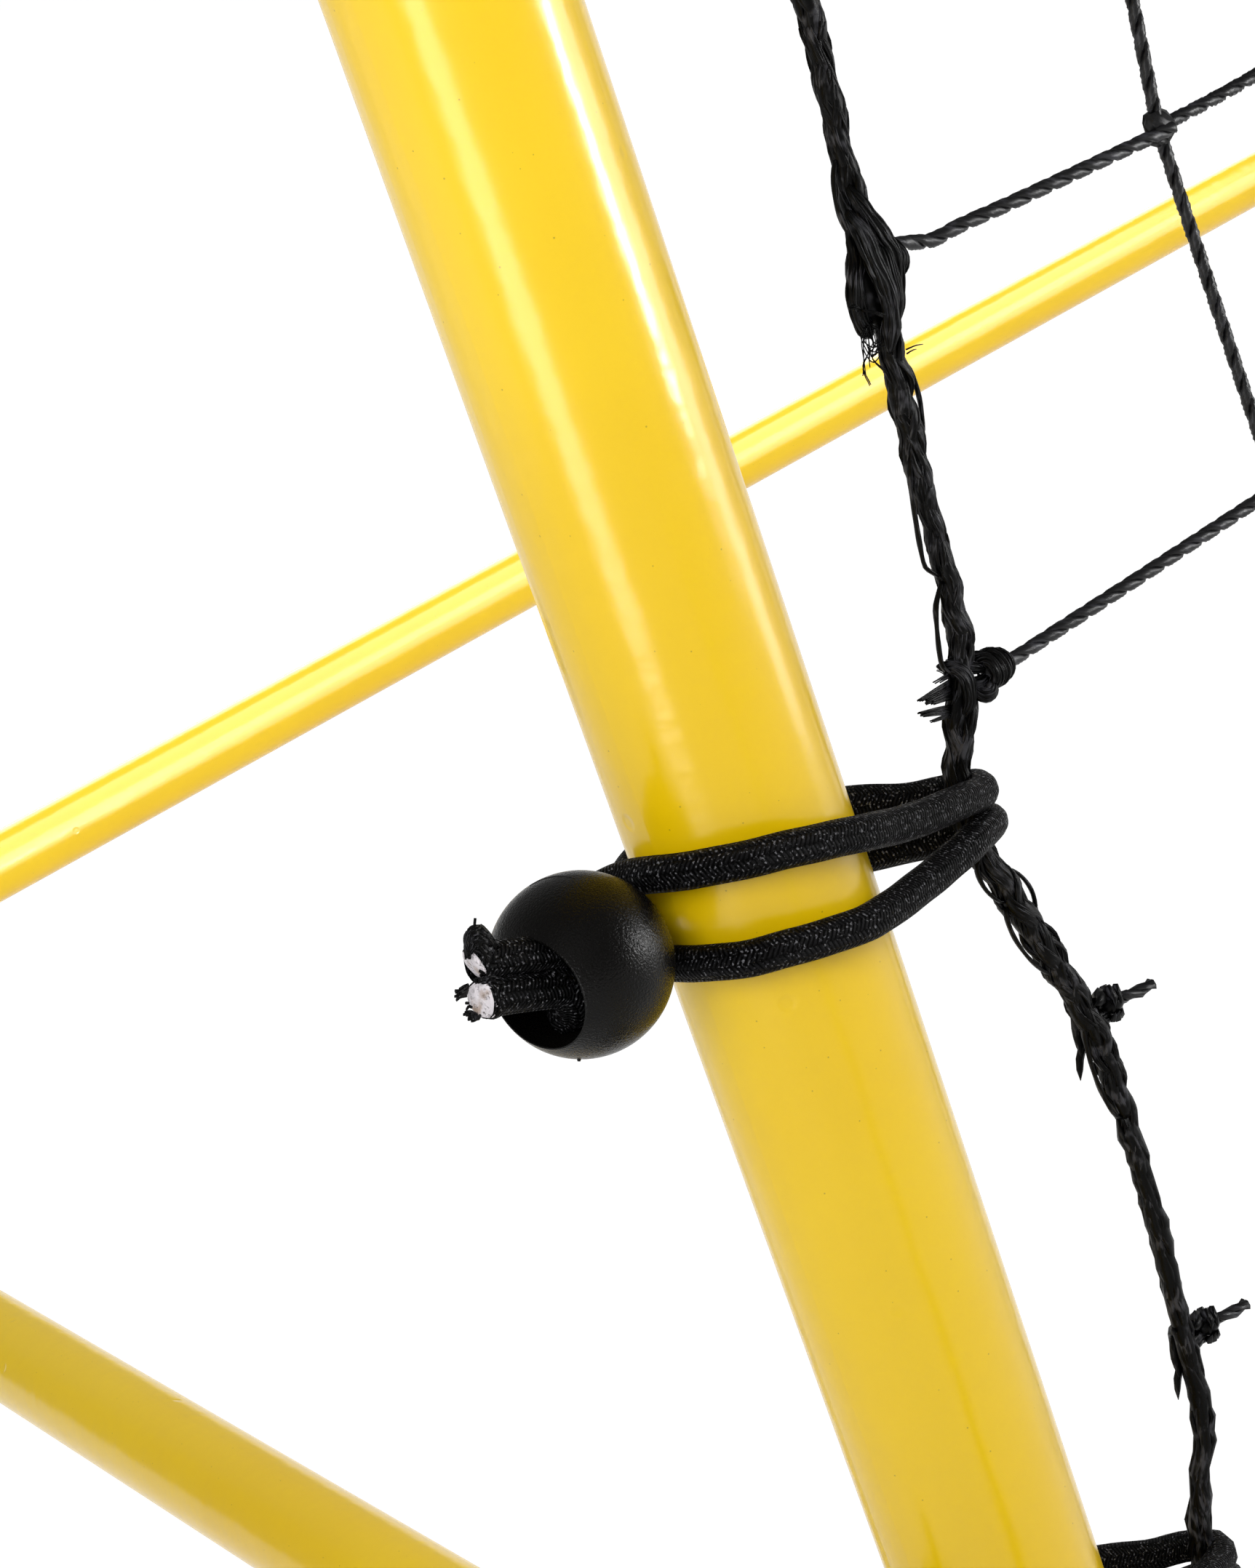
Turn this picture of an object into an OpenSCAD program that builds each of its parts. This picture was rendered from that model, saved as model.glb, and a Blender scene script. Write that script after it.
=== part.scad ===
// Freestanding volleyball net on two telescopic poles, with a knock-down ground frame.
// X runs along the net, Y across it, Z is up, and the origin is on the ground under the net's middle.
// The net hangs on ball bungees, which loop round a pole and the net's edge rope.

/* [Net] */
// Side of one square mesh of the net
mesh_pitch = 60; // [54:1:66]
// Number of meshes along the net, a multiple of four
mesh_cols = 48; // [32:4:56]
// Number of meshes up the net, an even number
mesh_rows = 16; // [14:2:18]
// Height of the bottom rope above the ground
net_bottom = 48; // [42:1:56]
// Thickness of the mesh twine
twine_d = 2.4; // [1.6:0.1:3.6]
// Diameter of the rope along the net's edges
rope_d = 5.5; // [4:0.1:7]
// Height of the cloth tape along the top
tape_h = 50; // [40:1:65]
// Thickness of the tape's cloth
tape_t = 1; // [0.6:0.1:1.6]
// Diameter of the cord inside the tape
top_cord_d = 5; // [4:0.1:6]

/* [Bungees] */
// Diameter of the elastic cord
bungee_d = 5; // [4:0.1:6]
// Diameter of the ball
ball_d = 25; // [22:0.5:32]
// Diameter of the wide mouth of that hole
ball_mouth_d = 14.6; // [14:0.1:18]
// Depth of the wide mouth
ball_mouth_depth = 7; // [4:0.5:10]
// Distance from the pole's axis to the edge rope where a bungee pulls it in
loop_gap = 39; // [37:0.5:46]
// Distance from the pole's axis to the edge rope between bungees
edge_gap = 54; // [50:0.5:62]
// Height between neighbouring bungees
loop_pitch = 240; // [200:5:280]
// Height between the corner bungee and the next one
corner_pitch = 140; // [110:5:180]
// Height of the corner bungee above the pole's socket
corner_lift = 15; // [13:0.5:22]
// Height between the two strands of one bungee where they pass the edge rope
strand_pitch = 5.6; // [5.4:0.1:7]
// Tilt of each strand, which parts them towards the ball
strand_tilt = 3; // [0:0.5:4]
// Length of the cut cord ends past the ball
tail_out = 8; // [5:0.5:14]

/* [Poles] */
// Outer diameter of the lower poles
pole_d = 32; // [31:0.5:38]
// Outer diameter of the upper poles
upper_d = 25; // [22:0.5:26]
// Wall of all tubes
tube_wall = 1.5; // [1.2:0.1:1.8]
// Length of the upper poles
upper_len = 470; // [440:5:520]
// Travel of the upper poles above their lowest stage
pole_travel = 240; // [200:5:260]
// Length of the guide bush on the upper pole's lower end
bush_len = 24; // [16:1:40]

/* [Clamps and caps] */
// Height of the clamp collar
collar_h = 47; // [42:1:56]
// Wall of the clamp collar
collar_wall = 5; // [4:0.5:7]
// Thickness of the collar's top lip
lip_h = 5; // [3:0.5:8]
// Diameter of the clamp screw
screw_d = 8; // [6:0.5:10]
// Diameter of the collar's screw boss
boss_d = 24; // [20:0.5:26]
// Reach of the screw boss out from the collar
boss_out = 9; // [6:0.5:14]
// Diameter of the star knob
knob_d = 42; // [36:1:50]
// Thickness of the star knob
knob_h = 16; // [12:0.5:20]
// Wall of the pole cap
cap_wall = 3; // [2:0.2:4]
// Length of the cap's skirt down the pole
cap_skirt = 30; // [24:1:40]
// Thickness of the cap's top
cap_top_h = 5; // [3:0.5:8]
// Hole of the cap's eye
eye_hole_d = 8.6; // [8.4:0.1:10]
// Width of the material round the eye's hole
eye_rim = 4; // [3:0.1:4.2]
// Thickness of the eye
eye_t = 5; // [4:0.1:5.4]

/* [Ground frame] */
// Distance between the front and rear bars
frame_depth = 1552; // [1200:4:1800]
// How far the foot tubes lie outside the poles' axes
foot_out = 14; // [8:1:16]
// Outer diameter of the ground tubes
ground_d = 25; // [22:0.5:28]
// Wall of the plastic fittings
fitting_wall = 3.5; // [2.5:0.1:5]
// Depth of the tubes in the fittings
sleeve_depth = 50; // [40:1:70]
// Height of the pole socket's rim above the ground
socket_top = 60; // [54:1:64]
// Thickness of the rubber feet
pad_h = 4; // [3:0.5:5]
// Diameter of the rubber feet
pad_d = 36; // [30:1:44]
// Hole of the ground peg lugs
peg_hole_d = 10; // [8:0.5:14]
// Width of the material round a peg hole
lug_rim = 8; // [6:0.5:12]
// Thickness of the peg lugs
lug_t = 6; // [5:0.5:9]
// Distance from a corner to its peg hole
lug_reach = 38; // [36:1:48]
// Length of the spigot that joins the two halves of a bar
spigot_len = 180; // [150:2:240]
// Distance from the middle of a bar to each snap button
button_x = 45; // [35:1:60]
// Diameter of the snap buttons
button_d = 8; // [6:0.5:9]
// Height of a snap button above its bar
button_out = 3; // [2:0.2:4]
// Travel of a snap button
button_travel = 5; // [4.8:0.1:5.4]
// Distance from the middle of a bar to each rubber saddle
saddle_x = 130; // [110:1:200]
// Length of a rubber saddle
saddle_len = 36; // [24:1:60]
// Diameter of the frame screws
frame_screw_d = 5; // [4:0.2:6]
// Diameter of the frame screws' heads
screw_head_d = 10; // [8:0.2:12]

/* [Clearances] */
// Gap round what slides, turns or is soft
fit = 0.3; // [0.2:0.05:0.4]
// Gap round what is pushed in and stays
seat = 0.2; // [0.1:0.05:0.3]

/* [Hidden] */
$fn = 48;
cut = 1;            // overshoot of a cutting body
left = -1;
right = 1;
front = -1;
rear = 1;

// Net
net_h = mesh_rows * mesh_pitch;
net_top = net_bottom + net_h;
pole_x = mesh_cols * mesh_pitch / 2 + edge_gap;
drawn_pitch = 2 * mesh_pitch;     // the solid net has every second twine
tape_bottom = net_top + twine_d / 2 + fit;
tape_top = tape_bottom + tape_h;
tape_sleeve_d = top_cord_d + 2 * fit + 2 * tape_t;
tape_body_t = 2 * tape_t + 0.8;
top_cord_z = tape_top - tape_sleeve_d / 2;

// Poles: at the lowest stage the cap's skirt stands just above the collar
pole_bore_d = pole_d - 2 * tube_wall;
upper_top = top_cord_z + eye_hole_d / 2 + eye_rim;
upper_bottom = upper_top - upper_len;
bush_d = pole_bore_d - 2 * fit;
collar_top = upper_top - cap_skirt - fit;
pole_top = collar_top - lip_h;

// Clamp collar, whose lip lies on the lower pole's top
collar_bottom = collar_top - collar_h;
collar_d = pole_d + 2 * seat + 2 * collar_wall;
clamp_z = (pole_top + collar_bottom) / 2;
boss_face = collar_d / 2 + boss_out;
insert_d = screw_d + 6;
knob_gap = 2;       // room between the boss and the knob's hub
hub_d = 18;
hub_h = 6;
knob_face = boss_face + knob_gap;

// Fittings of the ground frame
sleeve_d = ground_d + 2 * seat + 2 * fitting_wall;
socket_d = pole_d + 2 * seat + 2 * fitting_wall;
sleeve_lift = 0.3;
ground_z = pad_h + sleeve_d / 2 + sleeve_lift;
bar_y = frame_depth / 2;
corner_x = pole_x + foot_out;
tube_stop_wall = 1.5;
tee_stop = socket_d / 2 + tube_stop_wall;
corner_hub_d = sleeve_d + 4;
corner_stop = corner_hub_d / 2 + tube_stop_wall;
socket_floor = 6;
pole_foot = pad_h + socket_floor;
stud_d = 8;
stud_h = 4;
screw_inset = 30;   // from a tube's end to its screw
screw_boss_d = screw_head_d + 3;
screw_boss_out = 1.2;
screw_head_h = 3;
screw_len = screw_boss_out + fitting_wall + seat + tube_wall + 3;
socket_screw_z = socket_top - 14;
edge_cut = 1.2;     // chamfer on the rims of the fittings

// Spigots and snap buttons of the long bars
joint_gap = 0.6;
spigot_d = ground_d - 2 * tube_wall - 2 * seat;
spigot_bore_d = spigot_d - 2 * tube_wall;
flange_d = button_d + 3.6;
flange_h = 1.5;
flange_top = sqrt(pow(spigot_bore_d / 2, 2) - pow(flange_d / 2, 2)) - fit;
button_top = ground_d / 2 + button_out;
leaf_t = 0.8;
leaf_w = 5;
leaf_tip = flange_top - flange_h - button_travel - fit;
leaf_low = -sqrt(pow(spigot_bore_d / 2, 2) - pow(leaf_w / 2, 2)) + seat;
leaf_flat = 14;

// Bungees
pole_wind = pole_d / 2 + fit + bungee_d / 2;     // winding radius round the pole
rope_wind = rope_d / 2 + fit + bungee_d / 2;     // winding radius round the edge rope
tangent_angle = acos((pole_wind - rope_wind) / loop_gap);
tangent_len = sqrt(pow(loop_gap, 2) - pow(pole_wind - rope_wind, 2));
strand_rise = (loop_gap + pole_wind) * sin(strand_tilt);
loop_half_h = strand_pitch / 2 + strand_rise + bungee_d / 2;
pole_arc_steps = 12;
rope_arc_steps = 6;
strand_sides = 6;
tail_pitch = bungee_d + 0.1;
ball_bore_d = tail_pitch + bungee_d + 2 * fit;
ball_x = pole_wind + bungee_d / 2 + fit + ball_d / 2;
corner_loop_z = socket_top + corner_lift;
first_loop_z = corner_loop_z + corner_pitch;
loop_room = collar_bottom - pole_travel - loop_half_h - first_loop_z;
loop_zs = concat([corner_loop_z],
                 [for (i = [0 : floor(loop_room / loop_pitch)]) first_loop_z + i * loop_pitch]);

// The edge rope: its distance from the pole's axis at each height, pulled in by every bungee
rope_straight = loop_half_h + 1;
corner_gap = (loop_gap + edge_gap) / 2;
rope_end_z = top_cord_z - top_cord_d / 2 - fit;
rope_route = concat(
    [[net_bottom - rope_d / 2, corner_gap]],
    [for (i = [0 : len(loop_zs) - 1]) each [
        [loop_zs[i] - rope_straight, loop_gap],
        [loop_zs[i] + rope_straight, loop_gap],
        [i < len(loop_zs) - 1 ? (loop_zs[i] + loop_zs[i + 1]) / 2 : net_top - mesh_pitch, edge_gap]]],
    [[rope_end_z, edge_gap]]);
rope_sides = 8;

// ---- Shared shapes ----

// A hollow round tube along +Z
module tube(outer_d, wall, length) {
    difference() {
        cylinder(d = outer_d, h = length);
        translate([0, 0, -cut])
            cylinder(d = outer_d - 2 * wall, h = length + 2 * cut);
    }
}

// A disc or sleeve along +Z with both rims chamfered
module chamfered(outer_d, length, chamfer) {
    rotate_extrude()
        polygon([[0, 0], [outer_d / 2 - chamfer, 0], [outer_d / 2, chamfer],
                 [outer_d / 2, length - chamfer], [outer_d / 2 - chamfer, length], [0, length]]);
}

// Places children at a pole, with local +X towards the net
module at_pole(side) {
    translate([side * pole_x, 0, 0])
        mirror([side == right ? 1 : 0, 0, 0])
            children();
}

// Places children at a ground corner, with local +X and +Y towards the inside of the frame
module at_corner(side, end) {
    translate([side * corner_x, end * bar_y, 0])
        mirror([side == right ? 1 : 0, 0, 0])
            mirror([0, end == rear ? 1 : 0, 0])
                children();
}

// Places children on a tee's arm, at the height of its tube, with local +X towards the corner
module on_arm(end) {
    translate([-foot_out, 0, ground_z])
        rotate(end * 90)
            children();
}

// Points the children's +Z along +X
module along_x() {
    rotate([0, 90, 0])
        children();
}

// Points the children's +Z along +Y
module along_y() {
    rotate([-90, 0, 0])
        children();
}

// The round hole for a frame screw, down through the top of a sleeve
module screw_hole(hole_d) {
    cylinder(d = hole_d, h = ground_d);
}

// ---- Poles ----

module lower_pole() {
    color("gold")
        difference() {
            translate([0, 0, pole_foot])
                tube(pole_d, tube_wall, pole_top - pole_foot);
            translate([0, 0, clamp_z])
                rotate([0, -90, 0])
                    cylinder(d = screw_d + 2 * fit, h = pole_d);
            translate([0, 0, socket_screw_z])
                rotate([0, -90, 0])
                    cylinder(d = frame_screw_d + 2 * seat, h = pole_d);
        }
}

module upper_pole() {
    color("gold")
        translate([0, 0, upper_bottom])
            tube(upper_d, tube_wall, upper_len);
}

// Ring with a foot flange, pressed over the upper pole's lower end
module guide_bush() {
    color("dimgray")
        translate([0, 0, upper_bottom])
            difference() {
                translate([0, 0, -tube_wall])
                    chamfered(bush_d, bush_len + tube_wall, 0.4);
                cylinder(d = upper_d + 2 * seat, h = bush_len + cut);
                translate([0, 0, -tube_wall - cut])
                    cylinder(d = upper_d - 4 * tube_wall, h = tube_wall + 2 * cut);
            }
}

// Collar over the top of the lower pole, bored below for it and through the lip for the upper pole
module collar() {
    color([0.1, 0.1, 0.1])
        difference() {
            union() {
                translate([0, 0, collar_bottom])
                    chamfered(collar_d, collar_h, 2);
                translate([0, 0, clamp_z])
                    rotate([0, -90, 0])
                        chamfered(boss_d, boss_face, edge_cut);
            }
            translate([0, 0, collar_bottom - cut])
                cylinder(d = pole_d + 2 * seat, h = pole_top - collar_bottom + cut);
            translate([0, 0, collar_bottom])
                cylinder(d = upper_d + 2 * fit, h = collar_h + cut);
            translate([0, 0, clamp_z])
                rotate([0, -90, 0])
                    cylinder(d = insert_d, h = boss_face + cut);
        }
}

// Brass insert in the collar's boss, from the lower pole to the boss's face
module thread_insert() {
    insert_foot = pole_d / 2 + seat + 1;
    color("goldenrod")
        translate([0, 0, clamp_z])
            rotate([0, -90, 0])
                difference() {
                    translate([0, 0, insert_foot])
                        cylinder(d = insert_d, h = boss_face - insert_foot);
                    cylinder(d = screw_d + 2 * fit, h = boss_face + cut);
                }
}

// Star knob with six finger hollows, a hub towards the boss and a blind bore for its screw
module knob() {
    lobes = 6;
    hollow_d = knob_d * 0.42;
    color([0.1, 0.1, 0.1])
        translate([-knob_face, 0, clamp_z])
            rotate([0, -90, 0])
                difference() {
                    union() {
                        cylinder(d = hub_d, h = hub_h + cut);
                        intersection() {
                            translate([0, 0, hub_h])
                                chamfered(knob_d, knob_h, 3);
                            translate([0, 0, hub_h])
                                linear_extrude(knob_h)
                                    difference() {
                                        circle(d = knob_d);
                                        for (i = [0 : lobes - 1])
                                            rotate(i * 360 / lobes)
                                                translate([knob_d * 0.6, 0])
                                                    circle(d = hollow_d);
                                    }
                        }
                    }
                    translate([0, 0, -cut])
                        cylinder(d = screw_d, h = hub_h + knob_h / 2 + cut);
                }
}

// Clamp screw, moulded into the knob, whose tip comes up to the upper pole
module clamp_screw() {
    tip = upper_d / 2 + fit;
    root = knob_face + hub_h + knob_h / 2;
    color("silver")
        translate([-tip, 0, clamp_z])
            rotate([0, -90, 0])
                chamfered(screw_d, root - tip, 0.6);
}

// Cap over the upper pole with an eye on the net's side, at the height of the top cord
module pole_cap() {
    cap_d = upper_d + 2 * seat + 2 * cap_wall;
    eye_x = cap_d / 2 + eye_hole_d / 2;
    color([0.1, 0.1, 0.1])
        difference() {
            union() {
                translate([0, 0, upper_top - cap_skirt])
                    rotate_extrude()
                        polygon([[0, 0], [cap_d / 2, 0], [cap_d / 2, cap_skirt + cap_top_h - 3],
                                 [cap_d / 2 - 3, cap_skirt + cap_top_h], [0, cap_skirt + cap_top_h]]);
                translate([eye_x, -eye_t / 2, top_cord_z])
                    along_y()
                        cylinder(d = eye_hole_d + 2 * eye_rim, h = eye_t);
            }
            translate([0, 0, upper_top - cap_skirt - cut])
                cylinder(d = upper_d + 2 * seat, h = cap_skirt + cut);
            translate([eye_x, -eye_t, top_cord_z])
                along_y()
                    cylinder(d = eye_hole_d, h = 2 * eye_t);
        }
}

// ---- Ground frame ----

// A sleeve along local +X from the fitting's middle, with its screw boss on top
module sleeve(stop) {
    along_x()
        cylinder(d = sleeve_d, h = stop + sleeve_depth - edge_cut);
    translate([stop + sleeve_depth - edge_cut, 0, 0])
        along_x()
            cylinder(d1 = sleeve_d, d2 = sleeve_d - 2 * edge_cut, h = edge_cut);
    translate([stop + screw_inset, 0, 0])
        cylinder(d = screw_boss_d, h = sleeve_d / 2 + screw_boss_out);
}

// What a sleeve is bored for: its tube and its screw
module sleeve_bore(stop) {
    translate([stop, 0, 0])
        along_x()
            cylinder(d = ground_d + 2 * seat, h = sleeve_depth + cut);
    translate([stop + screw_inset, 0, 0])
        screw_hole(frame_screw_d + 2 * seat);
}

// Hole in a fitting's foot for the stud of its rubber disc
module stud_hole() {
    translate([0, 0, pad_h - cut])
        cylinder(d = stud_d + 2 * seat, h = stud_h + seat + cut);
}

// Tee with an upright socket for the pole and, on its outer side, an arm for each foot tube
module base_tee() {
    color([0.1, 0.1, 0.1])
        difference() {
            union() {
                translate([0, 0, pad_h])
                    chamfered(socket_d, socket_top - pad_h, edge_cut);
                translate([0, 0, socket_screw_z])
                    rotate([0, -90, 0])
                        cylinder(d = screw_boss_d, h = socket_d / 2 + screw_boss_out);
                for (end = [front, rear])
                    on_arm(end) {
                        sleeve(tee_stop);
                        tee_web();
                    }
            }
            translate([0, 0, pole_foot])
                cylinder(d = pole_d + 2 * seat, h = socket_top);
            for (end = [front, rear])
                on_arm(end)
                    sleeve_bore(tee_stop);
            translate([0, 0, socket_screw_z])
                rotate([0, -90, 0])
                    cylinder(d = frame_screw_d + 2 * seat, h = socket_d);
            stud_hole();
        }
}

// Stiffening web on an arm, from the socket's side towards the arm's screw
module tee_web() {
    web_t = 6;
    web_x = tee_stop + screw_inset - screw_boss_d / 2;
    web_foot = sleeve_d / 2 - fitting_wall / 2;
    web_head = socket_top - 6 - ground_z;
    translate([0, web_t / 2, 0])
        rotate([90, 0, 0])
            linear_extrude(web_t)
                polygon([[0, web_foot], [web_x, web_foot], [socket_d / 2 - fitting_wall, web_head], [0, web_head]]);
}

// Corner elbow with a flat lug for a ground peg
module corner_elbow() {
    lug_d = peg_hole_d + 2 * lug_rim;
    neck_w = lug_d - 5;
    color([0.1, 0.1, 0.1])
        difference() {
            union() {
                translate([0, 0, pad_h])
                    chamfered(corner_hub_d, ground_z + sleeve_d / 2 + screw_boss_out - pad_h, edge_cut);
                for (turn = [0, 90])
                    translate([0, 0, ground_z])
                        rotate(turn)
                            sleeve(corner_stop);
                rotate(225) {
                    translate([lug_reach, 0, pad_h])
                        chamfered(lug_d, lug_t, 1);
                    translate([0, -neck_w / 2, pad_h])
                        cube([lug_reach, neck_w, lug_t - 1.4]);
                }
            }
            for (turn = [0, 90])
                translate([0, 0, ground_z])
                    rotate(turn)
                        sleeve_bore(corner_stop);
            rotate(225)
                translate([lug_reach, 0, pad_h - cut])
                    cylinder(d = peg_hole_d, h = lug_t + 2 * cut);
            stud_hole();
        }
}

// Tube from the tee to a corner, local +X from the tee
module foot_tube(end) {
    length = bar_y - tee_stop - corner_stop;
    color("gold")
        on_arm(end)
            difference() {
                translate([tee_stop, 0, 0])
                    along_x()
                        tube(ground_d, tube_wall, length);
                for (x = [tee_stop + screw_inset, bar_y - corner_stop - screw_inset])
                    translate([x, 0, 0])
                        screw_hole(frame_screw_d + 2 * seat);
            }
}

// Half of a long bar, from a corner to the middle of the net
module bar_half(side, end) {
    length = corner_x - corner_stop - joint_gap / 2;
    color("gold")
        at_corner(side, end)
            translate([0, 0, ground_z])
                difference() {
                    translate([corner_stop, 0, 0])
                        along_x()
                            tube(ground_d, tube_wall, length);
                    translate([corner_stop + screw_inset, 0, 0])
                        screw_hole(frame_screw_d + 2 * seat);
                    translate([corner_x - button_x, 0, 0])
                        screw_hole(button_d + 2 * fit);
                }
}

// Inner tube that joins the two halves of a bar
module bar_spigot(end) {
    color("silver")
        translate([0, end * bar_y, ground_z])
            difference() {
                translate([-spigot_len / 2, 0, 0])
                    along_x()
                        tube(spigot_d, tube_wall, spigot_len);
                for (side = [left, right])
                    translate([side * button_x, 0, 0])
                        screw_hole(button_d + 2 * fit);
            }
}

// Domed snap button with a flange that holds it inside the spigot
module snap_button(side, end) {
    dome = 1.6;
    color("silver")
        translate([side * button_x, end * bar_y, ground_z])
            rotate_extrude()
                polygon([[0, flange_top - flange_h], [flange_d / 2, flange_top - flange_h],
                         [flange_d / 2, flange_top], [button_d / 2, flange_top],
                         [button_d / 2, button_top - dome], [button_d / 2 - dome * 0.35, button_top - dome * 0.4],
                         [button_d / 2 - dome, button_top], [0, button_top]]);
}

// Leaf spring on the floor of the spigot, one wing below each button
module button_spring(end) {
    wing_x = button_x + 3;
    color("silver")
        translate([0, end * bar_y + leaf_w / 2, ground_z])
            rotate([90, 0, 0])
                linear_extrude(leaf_w)
                    polygon([[-wing_x, leaf_tip], [-leaf_flat, leaf_low + leaf_t], [leaf_flat, leaf_low + leaf_t],
                             [wing_x, leaf_tip], [wing_x, leaf_tip - leaf_t], [leaf_flat, leaf_low],
                             [-leaf_flat, leaf_low], [-wing_x, leaf_tip - leaf_t]]);
}

// One pan-head screw, its head's seat at the origin, shank along -Z
module frame_screw() {
    rotate_extrude()
        polygon([[0, -screw_len], [frame_screw_d / 2 - 0.8, -screw_len], [frame_screw_d / 2, -screw_len + 1.6],
                 [frame_screw_d / 2, 0], [screw_head_d / 2, 0], [screw_head_d / 2, screw_head_h - 1.4],
                 [screw_head_d / 2 - 1.6, screw_head_h], [0, screw_head_h]]);
}

// All the screws of one side: in the tee's arms, the pole socket and both corners
module frame_screws(side) {
    seat_z = ground_z + sleeve_d / 2 + screw_boss_out;
    color("silver") {
        at_pole(side) {
            for (end = [front, rear])
                translate([-foot_out, end * (tee_stop + screw_inset), seat_z])
                    frame_screw();
            translate([-socket_d / 2 - screw_boss_out, 0, socket_screw_z])
                rotate([0, -90, 0])
                    frame_screw();
        }
        for (end = [front, rear])
            at_corner(side, end) {
                translate([corner_stop + screw_inset, 0, seat_z])
                    frame_screw();
                translate([0, corner_stop + screw_inset, seat_z])
                    frame_screw();
            }
    }
}

// Rubber disc with a stud that goes up into a fitting
module rubber_foot() {
    rotate_extrude()
        polygon([[0, 0], [pad_d / 2, 0], [pad_d / 2, pad_h - 1], [pad_d / 2 - 1, pad_h],
                 [stud_d / 2, pad_h], [stud_d / 2, pad_h + stud_h], [0, pad_h + stud_h]]);
}

module rubber_feet() {
    color([0.15, 0.15, 0.15])
        for (side = [left, right]) {
            at_pole(side)
                rubber_foot();
            for (end = [front, rear])
                at_corner(side, end)
                    rubber_foot();
        }
}

// Rubber saddles that carry the middle of each long bar
module bar_saddles() {
    ring_d = ground_d + 8;
    foot_w = ring_d + 4;
    color([0.15, 0.15, 0.15])
        for (side = [left, right], end = [front, rear])
            translate([side * saddle_x - saddle_len / 2, end * bar_y, ground_z])
                difference() {
                    union() {
                        along_x()
                            cylinder(d = ring_d, h = saddle_len);
                        translate([0, -foot_w / 2, -ground_z])
                            cube([saddle_len, foot_w, ground_z / 2]);
                    }
                    translate([-cut, 0, 0])
                        along_x()
                            cylinder(d = ground_d + 2 * seat, h = saddle_len + 2 * cut);
                }
}

// ---- Net ----

// Flat square mesh; each row ends at the edge rope, which bends with the bungees
module net_mesh() {
    columns = mesh_cols / 2 - 1;
    rows = mesh_rows / 2;
    foot = net_bottom + rope_d / 2 + fit;
    color([0.13, 0.13, 0.13])
        translate([0, twine_d / 2, 0])
            rotate([90, 0, 0])
                linear_extrude(twine_d) {
                    for (i = [1 : columns])
                        translate([(i - mesh_cols / 4) * drawn_pitch - twine_d / 2, foot])
                            square([twine_d, net_top - foot]);
                    for (j = [1 : rows])
                        net_row(net_bottom + j * drawn_pitch);
                }
}

module net_row(height) {
    reach = pole_x - lookup(height, rope_route) - rope_d / 2 - fit;
    translate([-reach, height - twine_d / 2])
        square([2 * reach, twine_d]);
}

// One ring of the edge rope, square to the rope's run
function rope_ring(i) =
    let (before = rope_route[max(i - 1, 0)],
         after = rope_route[min(i + 1, len(rope_route) - 1)],
         run = (after - before) / norm(after - before),
         here = rope_route[i])
    [for (k = [0 : rope_sides - 1])
        let (out = cos(k * 360 / rope_sides) * rope_d / 2,
             across = sin(k * 360 / rope_sides) * rope_d / 2)
        [here[1] + out * run[0], across, here[0] - out * run[1]]];

module edge_rope() {
    rings = len(rope_route);
    sides = [for (i = [0 : rings - 2], k = [0 : rope_sides - 1])
                let (a = i * rope_sides + k, b = i * rope_sides + (k + 1) % rope_sides)
                each [[a, a + rope_sides, b + rope_sides], [a, b + rope_sides, b]]];
    foot = [[for (k = [0 : rope_sides - 1]) k]];
    head = [[for (k = [rope_sides - 1 : -1 : 0]) (rings - 1) * rope_sides + k]];
    color([0.13, 0.13, 0.13])
        polyhedron([for (i = [0 : rings - 1]) each rope_ring(i)], concat(sides, foot, head));
}

module bottom_rope() {
    reach = pole_x - corner_gap - rope_d / 2 - fit;
    color([0.13, 0.13, 0.13])
        translate([-reach, 0, net_bottom])
            along_x()
                cylinder(d = rope_d, h = 2 * reach);
}

// Folded cloth tape, a flat band under the sleeve for the cord
module top_tape() {
    reach = pole_x - edge_gap - rope_d / 2 - fit;
    color("gold")
        translate([-reach, 0, 0])
            rotate([90, 0, 90])
                linear_extrude(2 * reach)
                    difference() {
                        union() {
                            translate([-tape_body_t / 2, tape_bottom])
                                square([tape_body_t, tape_h - tape_sleeve_d / 2]);
                            translate([0, top_cord_z])
                                circle(d = tape_sleeve_d);
                        }
                        translate([0, top_cord_z])
                            circle(d = top_cord_d + 2 * fit);
                    }
}

// Cord through the tape, with a knotted loop through the eye of each cap
module top_cord() {
    cap_d = upper_d + 2 * seat + 2 * cap_wall;
    eye_x = cap_d / 2 + eye_hole_d / 2;
    loop_r = eye_rim + eye_hole_d / 2 - 0.9;
    knot_d = 2.2 * top_cord_d;
    knot_x = eye_x + 2 * loop_r;
    color([0.13, 0.13, 0.13]) {
        translate([-(pole_x - knot_x), 0, top_cord_z])
            along_x()
                cylinder(d = top_cord_d, h = 2 * (pole_x - knot_x));
        for (side = [left, right])
            at_pole(side) {
                translate([knot_x, 0, top_cord_z])
                    sphere(d = knot_d);
                translate([eye_x + loop_r, 0, top_cord_z])
                    rotate_extrude()
                        translate([loop_r, 0])
                            circle(d = top_cord_d);
            }
    }
}

// ---- Bungees ----

// Centre line of one strand in plan: round the pole, then round the edge rope, and closed.
// Each arc's corners lie outside its true radius, so that the chords between them touch it.
function arc_corners(radius, centre_x, from, to, steps) =
    let (step = (to - from) / steps)
    [for (i = [0 : steps])
        [centre_x + radius / cos(step / 2) * cos(from + i * step), radius / cos(step / 2) * sin(from + i * step)]];

function strand_route() = concat(
    arc_corners(pole_wind, 0, tangent_angle, 360 - tangent_angle, pole_arc_steps),
    arc_corners(rope_wind, loop_gap, -tangent_angle, tangent_angle, rope_arc_steps));

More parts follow.
